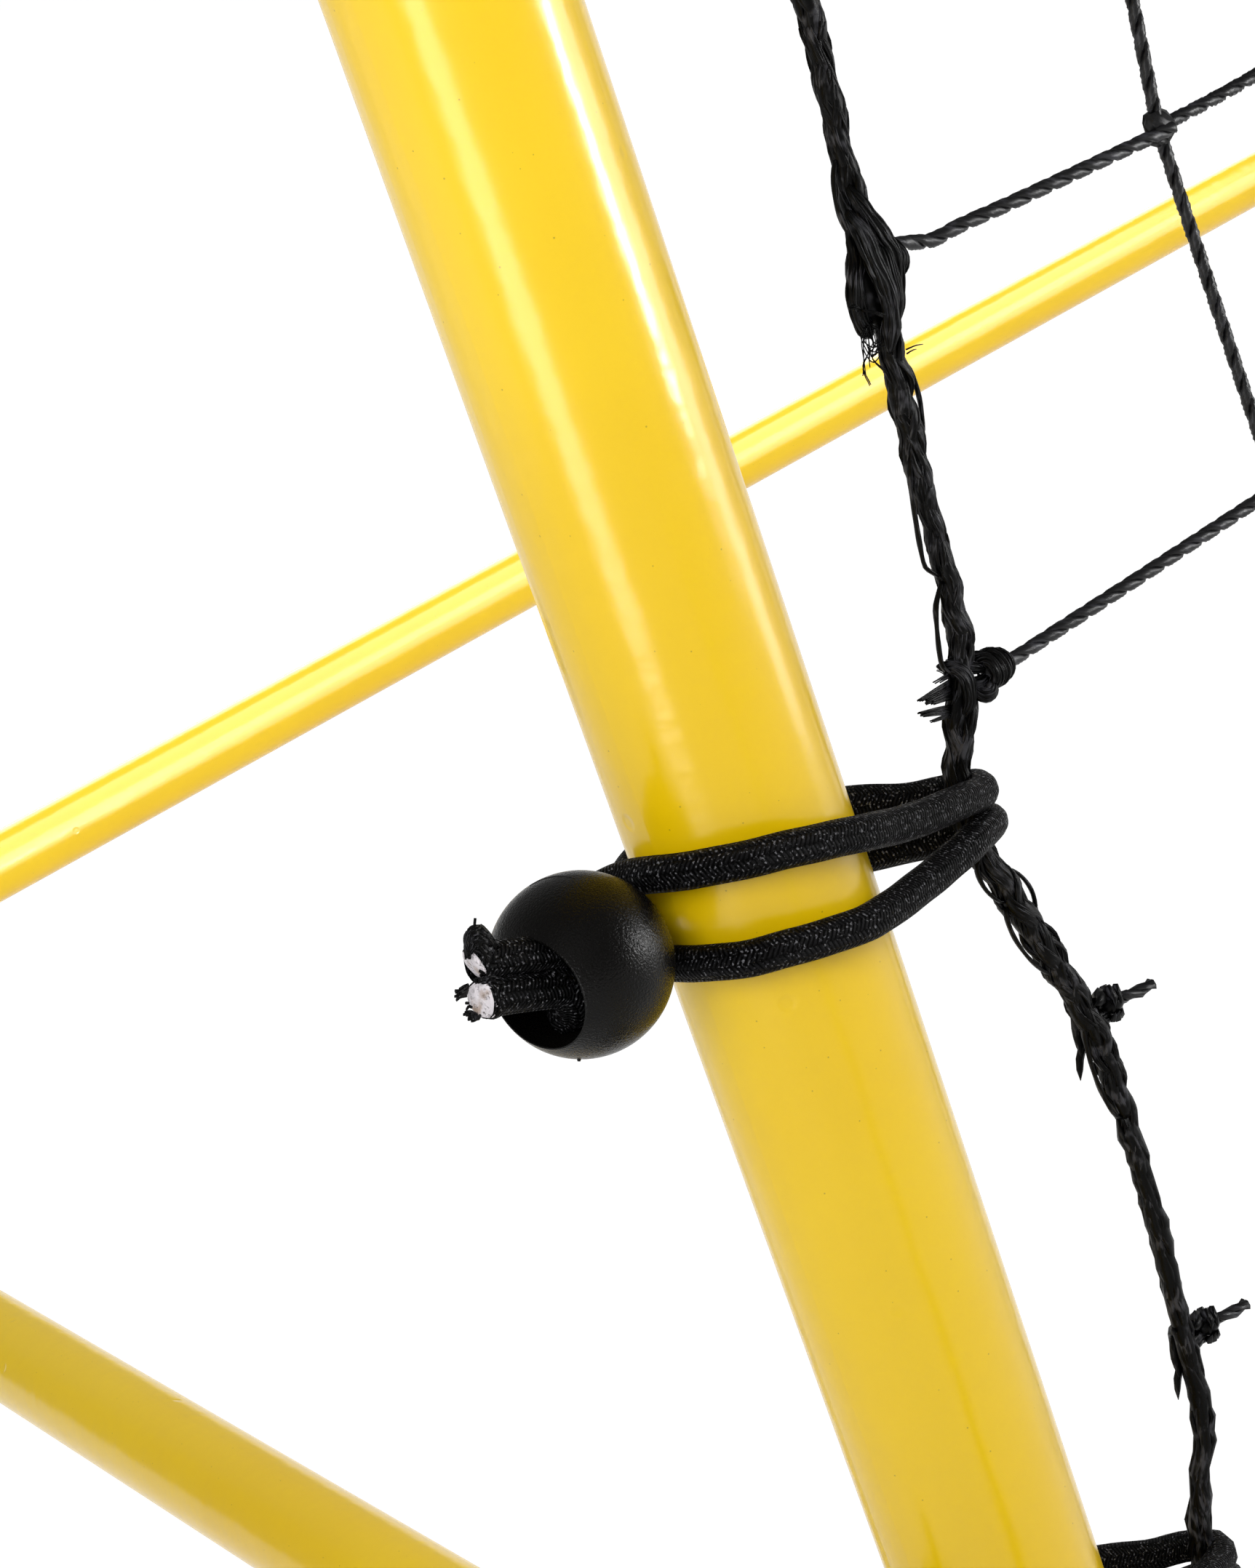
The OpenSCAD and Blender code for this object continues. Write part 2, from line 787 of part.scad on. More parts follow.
// A strand as a closed tube along its centre line
module strand() {
    route = strand_route();
    count = len(route);
    rings = [for (i = [0 : count - 1])
        let (run = route[(i + 1) % count] - route[(i + count - 1) % count],
             outward = [run[1], -run[0]] / norm(run))
        for (k = [0 : strand_sides - 1])
            let (turn = k * 360 / strand_sides)
            [each route[i] + outward * cos(turn) * bungee_d / 2, sin(turn) * bungee_d / 2]];
    faces = [for (i = [0 : count - 1], k = [0 : strand_sides - 1])
        let (here = i * strand_sides,
             next = (i + 1) % count * strand_sides,
             up = (k + 1) % strand_sides)
        each [[here + k, here + up, next + up], [here + k, next + up, next + k]]];
    polyhedron(rings, faces);
}

// Both strands of a bungee, parted towards the ball, and the cut ends through the ball
module bungee_cord() {
    tail_foot = pole_wind + bungee_d / 2 + fit;
    for (s = [-1, 1]) {
        translate([loop_gap, 0, s * strand_pitch / 2])
            rotate([0, s * strand_tilt, 0])
                translate([-loop_gap, 0, 0])
                    strand();
        translate([-tail_foot, 0, s * tail_pitch / 2])
            rotate([0, -90, 0])
                cylinder(d = bungee_d, h = ball_d + tail_out);
    }
}

module bungee_cords(side) {
    color([0.1, 0.1, 0.1])
        at_pole(side)
            for (z = loop_zs)
                translate([0, 0, z])
                    bungee_cord();
}

module bungee_balls(side) {
    color([0.17, 0.16, 0.14])
        at_pole(side)
            for (z = loop_zs)
                translate([-ball_x, 0, z])
                    difference() {
                        sphere(d = ball_d);
                        translate([-ball_d, 0, 0])
                            along_x()
                                cylinder(d = ball_bore_d, h = 2 * ball_d);
                        translate([-ball_d, 0, 0])
                            along_x()
                                cylinder(d = ball_mouth_d, h = ball_d / 2 + ball_mouth_depth);
                    }
}

// ---- Sub-parts ----

at_pole(left) lower_pole();  // left_lower_pole
at_pole(right) lower_pole();  // right_lower_pole
at_pole(left) upper_pole();  // left_upper_pole
at_pole(right) upper_pole();  // right_upper_pole
at_pole(left) guide_bush();  // left_guide_bush
at_pole(right) guide_bush();  // right_guide_bush
at_pole(left) collar();  // left_collar
at_pole(right) collar();  // right_collar
at_pole(left) thread_insert();  // left_thread_insert
at_pole(right) thread_insert();  // right_thread_insert
at_pole(left) knob();  // left_knob
at_pole(right) knob();  // right_knob
at_pole(left) clamp_screw();  // left_clamp_screw
at_pole(right) clamp_screw();  // right_clamp_screw
at_pole(left) pole_cap();  // left_pole_cap
at_pole(right) pole_cap();  // right_pole_cap
at_pole(left) base_tee();  // left_base_tee
at_pole(right) base_tee();  // right_base_tee
at_pole(left) foot_tube(front);  // left_front_foot_tube
at_pole(left) foot_tube(rear);  // left_rear_foot_tube
at_pole(right) foot_tube(front);  // right_front_foot_tube
at_pole(right) foot_tube(rear);  // right_rear_foot_tube
at_corner(left, front) corner_elbow();  // left_front_corner
at_corner(left, rear) corner_elbow();  // left_rear_corner
at_corner(right, front) corner_elbow();  // right_front_corner
at_corner(right, rear) corner_elbow();  // right_rear_corner
bar_half(left, front);  // front_bar_left
bar_half(right, front);  // front_bar_right
bar_half(left, rear);  // rear_bar_left
bar_half(right, rear);  // rear_bar_right
bar_spigot(front);  // front_bar_spigot
bar_spigot(rear);  // rear_bar_spigot
snap_button(left, front);  // front_button_left
snap_button(right, front);  // front_button_right
snap_button(left, rear);  // rear_button_left
snap_button(right, rear);  // rear_button_right
button_spring(front);  // front_button_spring
button_spring(rear);  // rear_button_spring
frame_screws(left);  // left_frame_screws
frame_screws(right);  // right_frame_screws
rubber_feet();
bar_saddles();
net_mesh();
at_pole(left) edge_rope();  // left_edge_rope
at_pole(right) edge_rope();  // right_edge_rope
bottom_rope();
top_tape();
top_cord();
bungee_cords(left);  // left_bungee_cords
bungee_cords(right);  // right_bungee_cords
bungee_balls(left);  // left_bungee_balls
bungee_balls(right);  // right_bungee_balls
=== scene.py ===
import math
import bpy
import numpy as np
from mathutils import Matrix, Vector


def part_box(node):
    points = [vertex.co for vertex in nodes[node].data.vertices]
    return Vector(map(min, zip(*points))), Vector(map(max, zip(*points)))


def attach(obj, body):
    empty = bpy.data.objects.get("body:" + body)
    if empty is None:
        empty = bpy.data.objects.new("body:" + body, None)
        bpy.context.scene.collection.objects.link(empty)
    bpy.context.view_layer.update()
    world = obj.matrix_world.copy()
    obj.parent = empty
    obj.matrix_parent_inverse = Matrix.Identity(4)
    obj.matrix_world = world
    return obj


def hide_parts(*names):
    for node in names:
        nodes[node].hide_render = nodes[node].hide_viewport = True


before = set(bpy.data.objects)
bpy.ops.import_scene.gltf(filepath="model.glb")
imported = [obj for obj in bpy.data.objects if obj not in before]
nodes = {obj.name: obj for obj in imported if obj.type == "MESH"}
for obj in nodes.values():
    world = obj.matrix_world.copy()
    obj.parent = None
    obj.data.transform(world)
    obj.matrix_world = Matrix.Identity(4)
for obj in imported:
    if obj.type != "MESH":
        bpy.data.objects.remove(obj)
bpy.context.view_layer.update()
chance = np.random.default_rng(12)
mm = 0.001
pi = math.pi
towardsNet, acrossNet, upwards = np.eye(3)
sideNames = ("left", "right")

# What the frame says
poleLow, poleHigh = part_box("left_lower_pole")
poleX = -(poleLow.x + poleHigh.x) / 2
ropeLow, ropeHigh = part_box("bottom_rope")
tapeLow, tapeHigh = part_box("top_tape")
cordLow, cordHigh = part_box("top_cord")
netBottom = (ropeLow.z + ropeHigh.z) / 2 / mm
netTop = tapeLow.z / mm - 1.5
print("frame loaded, poles at", round(poleX, 4))


# Shapes: grids of points made into meshes

def unit(v):                                       # the same direction, one long
    return v / np.linalg.norm(v, axis=-1, keepdims=True)


def smoothstep(low, high, value):                  # 3 t t - 2 t t t between low and high
    t = np.clip((value - low) / (high - low), 0, 1)
    return t * t * (3 - 2 * t)


def bell(z, middle, reach):                        # 1 at the middle, less to either side
    return np.exp(-((z - middle) / reach) ** 2)


# A curve through chosen points: each stretch is a cubic whose slope at a point is half the
# step between that point's neighbours. It comes back as points an even distance apart.
def smoothPath(points, step):
    p = np.asarray(points, float)
    p = np.vstack([2 * p[0] - p[1], p, 2 * p[-1] - p[-2]])
    a, b, c, d = (p[i:len(p) - 3 + i, None] for i in range(4))
    t = np.linspace(0, 1, 24, endpoint=False)[:, None]
    curve = b + 0.5 * t * (c - a + t * (2 * a - 5 * b + 4 * c - d + t * (3 * (b - c) + d - a)))
    return evenPath(np.vstack([curve.reshape(-1, p.shape[1]), p[-2]]), step)


def runOf(path):                                   # how far along the path each point lies
    return np.r_[0, np.cumsum(np.linalg.norm(np.diff(path, axis=0), axis=1))]


def evenPath(path, step):
    run = runOf(path)
    at = np.linspace(0, run[-1], max(round(run[-1] / step), 2) + 1)
    return np.stack([np.interp(at, run, path[:, k]) for k in range(path.shape[1])], axis=1)


# Two directions square to a path at each point: the first leans towards a chosen one.
def leaningFrame(path, towards):
    run = unit(np.gradient(path, axis=-2))
    side = unit(towards - (towards * run).sum(-1, keepdims=True) * run)
    return side, np.cross(run, side)


# The same without a chosen direction: each ring's frame is the one before it, turned as little
# as the path turns.
def carriedFrame(path, start):
    run = unit(np.gradient(path, axis=0))
    side = np.empty_like(run)
    side[0] = unit(start - start @ run[0] * run[0])
    for i in range(1, len(run)):
        side[i] = unit(side[i - 1] - side[i - 1] @ run[i] * run[i])
    return side, np.cross(run, side)


# Rings of an ellipse round a path: centre + width x cos(angle) x side + depth x sin(angle) x over,
# the ellipse turned by `turn` in its own plane.
def rings(path, directions, wide, deep, sides, turn):
    side, over = (v[..., None, :] for v in directions)
    angle = np.arange(sides) * 2 * pi / sides
    x, y = wide * np.cos(angle), deep * np.sin(angle)
    c, s = np.cos(turn), np.sin(turn)
    return path[..., None, :] + (x * c - y * s)[..., None] * side + (x * s + y * c)[..., None] * over


class Surface:                                     # gathers grids and becomes one mesh object
    def __init__(self):
        self.points, self.corners, self.sizes, self.maps, self.finishes = [], [], [], [], []
        self.count = 0

    # points[..., ring, side, xyz] in millimetres. `along` is each ring's place in the UV map.
    def grid(self, points, along=None, closed=False, wrapped=True, capped=True, finish=0):
        *batch, ringCount, sides, _ = points.shape
        many = int(np.prod(batch)) if batch else 1
        if along is None:
            along = np.arange(ringCount + closed, dtype=float)
        along = np.broadcast_to(along, (*batch, ringCount + closed)).reshape(many, -1)
        index = np.arange(ringCount * sides).reshape(ringCount, sides)
        low, high = (index, np.roll(index, -1, 0)) if closed else (index[:-1], index[1:])
        across = np.arange(sides + 1) / (sides if wrapped else sides - 1)
        columns = sides if wrapped else sides - 1
        corner = np.stack([low, np.roll(low, -1, 1), np.roll(high, -1, 1), high], -1)[:, :columns]
        shift = np.arange(many)[:, None, None, None] * ringCount * sides
        self.corners.append((corner[None] + shift + self.count).reshape(-1))
        self.sizes.append(np.full(many * corner[..., 0].size, 4))
        spans = corner.shape[0]
        u = np.broadcast_to(across[None, None, :columns], (many, spans, columns))
        v = np.broadcast_to(along[:, :spans, None], u.shape)
        nextU = np.broadcast_to(across[None, None, 1:columns + 1], u.shape)
        nextV = np.broadcast_to(along[:, 1:spans + 1, None], u.shape)
        self.maps.append(np.stack([u, v, nextU, v, nextU, nextV, u, nextV], -1).reshape(-1, 2))
        self.points.append(points.reshape(-1, 3))
        base, self.count = self.count, self.count + many * ringCount * sides
        if capped and wrapped and not closed:
            for ring, order in ((0, -1), (ringCount - 1, 1)):
                rim = points.reshape(many, ringCount, sides, 3)[:, ring]
                middle = self.count + np.arange(many)[:, None]
                self.points.append(rim.mean(1))
                self.count += many
                edge = base + np.arange(many)[:, None] * ringCount * sides + ring * sides
                edge = edge + np.arange(sides)[None]
                fan = np.stack([np.broadcast_to(middle, edge.shape), edge, np.roll(edge, -1, 1)], -1)
                self.corners.append((fan if order > 0 else fan[..., [0, 2, 1]]).reshape(-1))
                self.sizes.append(np.full(many * sides, 3))
                self.maps.append(np.zeros((many * sides * 3, 2)))
        faces = sum(len(s) for s in self.sizes) - len(self.finishes)
        self.finishes.extend([finish] * faces)

    def piece(self, name, slot, finishes, replaced=()):
        mesh = bpy.data.meshes.new(name)
        points, corners = np.vstack(self.points) * mm, np.concatenate(self.corners)
        sizes = np.concatenate(self.sizes)
        mesh.vertices.add(len(points))
        mesh.vertices.foreach_set("co", points.astype(np.float32).ravel())
        mesh.loops.add(len(corners))
        mesh.loops.foreach_set("vertex_index", corners.astype(np.int32))
        mesh.polygons.add(len(sizes))
        mesh.polygons.foreach_set("loop_start", np.r_[0, np.cumsum(sizes)[:-1]].astype(np.int32))
        mesh.polygons.foreach_set("material_index", np.array(self.finishes, np.int32))
        mesh.polygons.foreach_set("use_smooth", np.full(len(sizes), True))
        mesh.update(calc_edges=True)
        mesh.uv_layers.new(name="map").data.foreach_set(
            "uv", np.vstack(self.maps).astype(np.float32).ravel())
        for finish in finishes:
            mesh.materials.append(finish)
        made = bpy.data.objects.new(name, mesh)
        bpy.context.scene.collection.objects.link(made)
        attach(made, "left_mast_and_net")         # the net and its bungees go up with the left pole
        if replaced:
            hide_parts(*replaced)
        print("made", name, "with", int((sizes - 2).sum()), "triangles")
        return made


# A place beside a pole, in millimetres: x towards the net, y across, z above the ground. On the
# right the rings' sides run the other way, so that the faces still point outwards.
def atPole(points, right):
    points = np.asarray(points, float)
    x = points[..., 0] - poleX / mm
    placed = np.stack([-x if right else x, points[..., 1], points[..., 2]], -1)
    return placed[..., ::-1, :] if right else placed


# A tube round a path, put beside a pole if `right` says which
def tube(surface, path, directions, wide, deep, sides, right=None, along=None, turn=0.0, **options):
    shape = rings(path, directions, wide, deep, sides, turn)
    along = runOf(path) if along is None else along
    surface.grid(shape if right is None else atPole(shape, right), along, **options)


# Finishes

def rgb(red, green, blue):                         # from screen values to light
    s = np.array([red, green, blue]) / 255
    return (*np.where(s <= 0.04045, s / 12.92, ((s + 0.055) / 1.055) ** 2.4).tolist(), 1.0)


class Link:                                        # an output socket that operators work on
    def __init__(self, finish, socket):
        self.finish, self.socket = finish, socket

    def maths(self, operation, *values):
        return self.finish.node("Math", {"operation": operation}, *values)

    def __add__(self, other): return self.maths("ADD", self, other)
    def __radd__(self, other): return self.maths("ADD", other, self)
    def __sub__(self, other): return self.maths("SUBTRACT", self, other)
    def __rsub__(self, other): return self.maths("SUBTRACT", other, self)
    def __mul__(self, other): return self.maths("MULTIPLY", self, other)
    def __rmul__(self, other): return self.maths("MULTIPLY", other, self)
    def __pow__(self, other): return self.maths("POWER", self, other)
    def sine(self): return self.maths("SINE", self)
    def size(self): return self.maths("ABSOLUTE", self)
    def rest(self): return self.maths("FRACT", self)
    def over(self, other): return self.maths("GREATER_THAN", self, other)


class Finish:                                      # one material and the nodes in it
    def __init__(self, name, **constants):
        self.material = bpy.data.materials.new(name)
        self.material.use_nodes = True
        self.tree = self.material.node_tree
        self.shader = self.tree.nodes["Principled BSDF"]
        for socket, value in constants.items():
            self.shader.inputs[socket.replace("_", " ")].default_value = value

    def node(self, kind, settings, *values, out=0, **named):
        made = self.tree.nodes.new("ShaderNode" + kind)
        for key, value in settings.items():
            setattr(made, key, value)
        keyed = [(k.replace("_", " "), v) for k, v in named.items()]
        for key, value in [*enumerate(values), *keyed]:
            if isinstance(value, Link):
                self.tree.links.new(value.socket, made.inputs[key])
            elif value is not None:
                made.inputs[key].default_value = value
        return Link(self, made.outputs[out])

    def place(self):
        return self.node("TexCoord", {}, out="Object")

    def uv(self):                                  # round the surface, and along it in millimetres
        split = self.node("SeparateXYZ", {}, self.node("TexCoord", {}, out="UV"))
        return split, Link(self, split.socket.node.outputs["Y"])

    def stretched(self, vector, scale):
        return self.node("Mapping", {}, vector, Scale=scale)

    def noise(self, vector, scale, detail=2.0):
        return self.node("TexNoise", {}, Vector=vector, Scale=scale, Detail=detail)

    def cells(self, vector, scale):                # distance to the nearest of scattered points
        return self.node("TexVoronoi", {}, Vector=vector, Scale=scale)

    def between(self, value, low, high):           # 0 below low, 1 above high, smooth between
        return self.node("MapRange", {"interpolation_type": "SMOOTHSTEP"}, value, low, high)

    def mix(self, factor, a, b):
        blank = [None] * 5
        return self.node("Mix", {"data_type": "RGBA"}, factor, *blank, a, b, out=2)

    def bump(self, height, distance, strength=1.0, under=None):
        return self.node("Bump", {}, Strength=strength, Distance=distance, Height=height, Normal=under)

    def set(self, **links):
        for socket, link in links.items():
            self.tree.links.new(link.socket, self.shader.inputs[socket.replace("_", " ")])
        return self.material


def yellowCoat():
    spec = {"colour": rgb(245, 205, 7), "shade": rgb(241, 199, 5), "speck": rgb(120, 84, 12),
            "peel": 230, "ripple": 75, "grain": 1500, "speckScale": 330}
    coat = Finish("yellowPowderCoat", IOR=1.5)
    place = coat.place()
    tone = coat.noise(place, 14)
    specks = 1 - coat.between(coat.cells(place, spec["speckScale"]), 0.03, 0.055)
    colour = coat.mix(coat.between(tone, 0.35, 0.65), spec["colour"], spec["shade"])
    colour = coat.mix(specks * 0.5, colour, spec["speck"])
    peel = coat.noise(place, spec["peel"]) + coat.noise(place, spec["ripple"]) * 2.2
    pits = coat.between(coat.cells(place, 46), 0.035, 0.075)
    normal = coat.bump(peel, 0.00009)
    normal = coat.bump(pits, 0.0002, 0.6, normal)
    rough = 0.18 + coat.noise(place, spec["grain"]) * 0.05
    return coat.set(Base_Color=colour, Roughness=rough, Normal=normal)


def mouldedPlastic(name, colour, rough, grain, depth, gloss=0.3):
    plastic = Finish(name, Specular_IOR_Level=gloss)
    place = plastic.place()
    cloud = plastic.noise(place, 60)
    pebble = plastic.noise(place, grain, 1.0)
    tone = plastic.mix(cloud, rgb(*colour), rgb(*(c * 0.8 for c in colour)))
    roughness = rough + (pebble - 0.5) * 0.25
    return plastic.set(Base_Color=tone, Roughness=roughness, Normal=plastic.bump(pebble, depth))


def plated(name, bright, dull, lines):
    metal = Finish(name, Metallic=1.0)
    place = metal.place()
    cloud = metal.noise(place, 90, 4.0)
    scratch = metal.noise(metal.stretched(place, (lines, lines, 40)), 1.0)
    tone = metal.mix(cloud, rgb(*bright), rgb(*dull))
    return metal.set(Base_Color=tone, Roughness=0.22 + cloud * 0.25, Normal=metal.bump(scratch, 0.00003))


def rubber():
    skin = Finish("blackRubber", Specular_IOR_Level=0.35)
    place = skin.place()
    dust = skin.between(skin.noise(place, 130, 4.0), 0.5, 0.8)
    tone = skin.mix(dust * 0.35, rgb(33, 33, 33), rgb(70, 68, 65))
    normal = skin.bump(skin.noise(place, 3000), 0.00004)
    return skin.set(Base_Color=tone, Roughness=0.72 + dust * 0.15, Normal=normal)


# The cord's sheath: columns of short stitches that lean one way and the other in turn, with painted
# highlights on the stitch tops, painted shade in the grooves between them and painted glints
def sheath():
    spec = {"columns": 10, "stitch": 0.62, "lean": 1.2}
    weave = Finish("braidedSheath", Specular_IOR_Level=0.04)
    u, v = weave.uv()
    place = weave.place()
    column = u * spec["columns"]
    part = column.rest()
    hand = (column * 0.5).rest().over(0.5) * 2 - 1
    rib = ((v * (1 / spec["stitch"]) + hand * part * spec["lean"]) * pi).sine().size()
    ridge = (part * pi).sine() ** 0.5
    height = (rib ** 0.7) * 0.75 + ridge * 0.45 + weave.noise(place, 2600) * 0.5
    # Painted glints: scattered specks on the stitch tops are painted nearly white in the base colour
    glint = weave.between(weave.noise(place, 2300, 1.0), 0.59, 0.68) * rib
    # Painted highlight and shade: the stitch tops are painted lighter and the grooves between stitches and
    # columns darker
    tone = weave.mix((rib ** 1.8) * ridge, rgb(1, 1, 1), rgb(22, 22, 23))
    tone = weave.mix(glint * 0.75, tone, rgb(122, 122, 126))
    rough = 0.5 - glint * 0.26
    return weave.set(Base_Color=tone, Roughness=rough, Normal=weave.bump(height, 0.0005))


def coreRubber():
    core = Finish("paleCore", Roughness=0.7)
    place = core.place()
    stain = core.between(core.noise(place, 420, 4.0), 0.48, 0.7)
    tone = core.mix(stain, rgb(226, 220, 224), rgb(168, 148, 134))
    pores = core.between(core.cells(place, 1500), 0.12, 0.4)
    tone = core.mix(1 - core.between(core.cells(place, 900), 0.05, 0.16), tone, rgb(88, 74, 66))
    return core.set(Base_Color=tone, Normal=core.bump(pores + core.noise(place, 1800), 0.0002))


# Loose flat fibres: fine streaks that run along the strand, some of them painted bright as painted
# highlights
def fibre(name, dull, bright, streaks, rough, gloss):
    yarn = Finish(name, Specular_IOR_Level=gloss)
    lines = yarn.noise(yarn.stretched(yarn.node("TexCoord", {}, out="UV"), (streaks, 0.3, 1)), 1.0, 3.0)
    patch = yarn.noise(yarn.place(), 280)
    # Painted highlight: where lit is high the streaks are painted a bright grey on the dark fibre
    lit = yarn.between(lines + patch * 0.7, 0.88, 1.08)
    tone = yarn.mix(lit, rgb(*dull), rgb(*bright))
    return yarn.set(Base_Color=tone, Roughness=rough + lines * 0.15, Normal=yarn.bump(lines, 0.00012))


# Twine whose two plies are a bump on a plain tube, the ply crowns painted lighter and the grooves between
# them darker as painted highlight and shade
def farTwine():
    twine = Finish("twistedTwine", Specular_IOR_Level=0.2)
    u, v = twine.uv()
    lobe = ((u * 2 + v * 0.2) * pi).sine().size()
    streak = ((u * 24 + v * 2.0) * pi).sine()
    # Painted highlight and shade: lighter on the plies' crowns, darker in the grooves between them
    tone = twine.mix(lobe, rgb(4, 4, 4), rgb(24, 24, 25))
    normal = twine.bump(streak, 0.00004, 0.6, twine.bump(lobe, 0.0008))
    return twine.set(Base_Color=tone, Roughness=0.5 - lobe * 0.12, Normal=normal)


def tapeWeave():
    cloth = Finish("wovenTape", Specular_IOR_Level=0.4, Sheen_Weight=0.25, Sheen_Roughness=0.5)
    u, v = cloth.uv()
    place = cloth.place()
    warp, weft = (u * 220 * pi).sine().size(), (v * 2.2 * pi).sine().size()
    check = ((u * 110).rest().over(0.5) - (v * 1.1).rest().over(0.5)).size()
    height = check * warp + (1 - check) * weft
    fade = cloth.noise(place, 14, 4.0)
    tone = cloth.mix(fade, rgb(246, 200, 44), rgb(236, 186, 30))
    # Painted shade: the low places of the weave, between the threads, are painted darker
    tone = cloth.mix(height, cloth.mix(0.35, tone, rgb(140, 96, 8)), tone)
    return cloth.set(Base_Color=tone, Roughness=0.7 - height * 0.1, Normal=cloth.bump(height, 0.0003))


finishes = {
    "yellow": yellowCoat(),
    "moulding": mouldedPlastic("blackMoulding", (24, 24, 25), 0.46, 2600, 0.00006),
    "ball": mouldedPlastic("satinBall", (7, 6, 5), 0.27, 3200, 0.0001, 0.13),
    "zinc": plated("zincSteel", (196, 198, 203), (150, 152, 158), 900),
    "brass": plated("turnedBrass", (214, 178, 104), (180, 138, 70), 1400),
    "rubber": rubber(),
    "sheath": sheath(),
    "core": coreRubber(),
    "rope": fibre("ropeFibre", (3, 3, 3), (60, 60, 64), 5, 0.3, 0.08),
    "twine": fibre("twineFibre", (8, 8, 10), (46, 46, 51), 4, 0.33, 0.3),
    "far": farTwine(),
    "tape": tapeWeave(),
}
print("finishes made")


# CAD nodes that keep their shape

kept = {
    "yellow": ("yellow_powder_coat", ("_lower_pole", "_upper_pole", "_foot_tube", "_bar_left",
                                      "_bar_right")),
    "moulding": ("black_moulding", ("_guide_bush", "_collar", "_knob", "_pole_cap", "_base_tee",
                                    "_corner")),
    "zinc": ("zinc_steel", ("_clamp_screw", "_spigot", "_button_left", "_button_right",
                            "_button_spring", "_frame_screws")),
    "brass": ("brass_insert", ("_thread_insert",)),
    "rubber": ("black_rubber", ("rubber_feet", "bar_saddles")),
}
for finish, (slot, endings) in kept.items():
    for name, node in nodes.items():
        if name.endswith(endings):
            node.data.materials.clear()
            node.data.materials.append(finishes[finish])
print("CAD nodes finished")


# Edge ropes

bungee = {"heights": (75, 215, 455, 695), "cord": 5.2}
edge = {"gap": 54, "radius": 2.0, "slack": 2.75, "core": 1.0, "lay": 46, "strands": 5, "strandWide": 1.0,
        "strandDeep": 0.5, "fibreThin": 0.17, "fibreWide": 0.26, "looseThin": 0.3, "looseWide": 0.5,
        "fineLow": 150, "fineHigh": 330,
        "swell": (-62, -42, 2, 10),                # heights from a bungee: starts, full, narrows, narrow
        "grip": (-6, 7, 0.8),                      # the bungee's grip: height, reach, share
        "waist": (249.5, 6.5, 0.26)}               # a narrow place: height, reach, share
# Where the rope runs near a bungee: height from the bungee, distance from the pole's axis
drawnIn = ((-43.5, 47.7), (-34, 45.2), (-24.5, 42.3), (-14, 39.3), (-9, 38), (-4, 38), (0, 39.2),
           (3.8, 40.5), (7.4, 41.7), (13, 44.4), (17, 46.6), (27, 47.8), (41, 48.5), (54, 49.5))


# The rope's distance from the pole's axis at each height: it is drawn in by each bungee
def ropeRoute():
    stops = [(netBottom - edge["radius"], 46.5)]
    for i, z in enumerate(bungee["heights"]):
        if i:
            stops.append((z - 56, 49.8))
        stops += [(z + dz, x) for dz, x in drawnIn if z + dz > stops[-1][0] + 8]
        above = bungee["heights"][i + 1] if i + 1 < len(bungee["heights"]) else netTop
        stops += [(z + 76, 51.7), (z + 86, 51.9)] if above - z > 200 else []
        if above - z > 150:
            stops.append(((z + above) / 2, edge["gap"]))
    stops.append((cordLow.z / mm + 8.4, edge["gap"]))
    return smoothPath(stops, 1.0)


ropeLine = ropeRoute()


def ropeAt(z):
    return np.interp(z, ropeLine[:, 0], ropeLine[:, 1])


# Slow waves with chosen lengths and chance phases, between about -1 and 1
def waves(z, lengths):
    return sum(np.sin(2 * pi * z / w + chance.uniform(0, 2 * pi)) for w in lengths) / len(lengths)


# Thin strands that hang loose from the bundle: from height, to height, side, reach. Two longer ones
# have ways of their own, each point as distance from the pole's axis and height.
looseStrands = ((306, 293, -1, 3.5), (275, 264, 1, 2.7), (202, 193, -1, 3.4), (193, 178, -1, 3.9),
                (198, 189, 1, 3.5), (168, 150, -1, 3.6))
longStrands = (
    ((47.4, 262), (46.3, 259.4), (45.8, 257.2), (45.4, 254.9), (44.9, 252.2), (44.5, 249.7),
     (44.2, 247.3), (44.4, 246), (45.9, 244.2)),
    ((46.4, 243.2), (44.8, 241.4), (43.8, 239.9), (43.1, 237.7), (42.4, 235.1), (42, 233.2),
     (41.9, 231.4), (43.2, 229.2)))


# Flat fibres that stand a little proud of a strand's outer side
def splitFibres(surface, path, outward, wide):
    run = runOf(path)
    side, over = directions = leaningFrame(path, outward)
    for place in (-0.75, -0.25, 0.3, 0.8):
        across = wide * (place + 0.16 * waves(run, (7, 13, 31)))
        rise = edge["strandDeep"] * (0.62 - 0.5 * place ** 2 + 0.35 * waves(run, (5, 11)))
        centre = path + across[:, None] * over + rise[:, None] * side
        broad = edge["fibreWide"] * (1 + 0.45 * waves(run, (9, 19)))[:, None]
        tube(surface, centre, directions, edge["fibreThin"], broad, 5, False, run)


def looseStrand(surface, path, run):
    wide = edge["looseWide"] * (1 + 0.3 * waves(run, (5, 9)))[:, None]
    tube(surface, path, leaningFrame(path, towardsNet), edge["looseThin"], wide, 8, False, run)


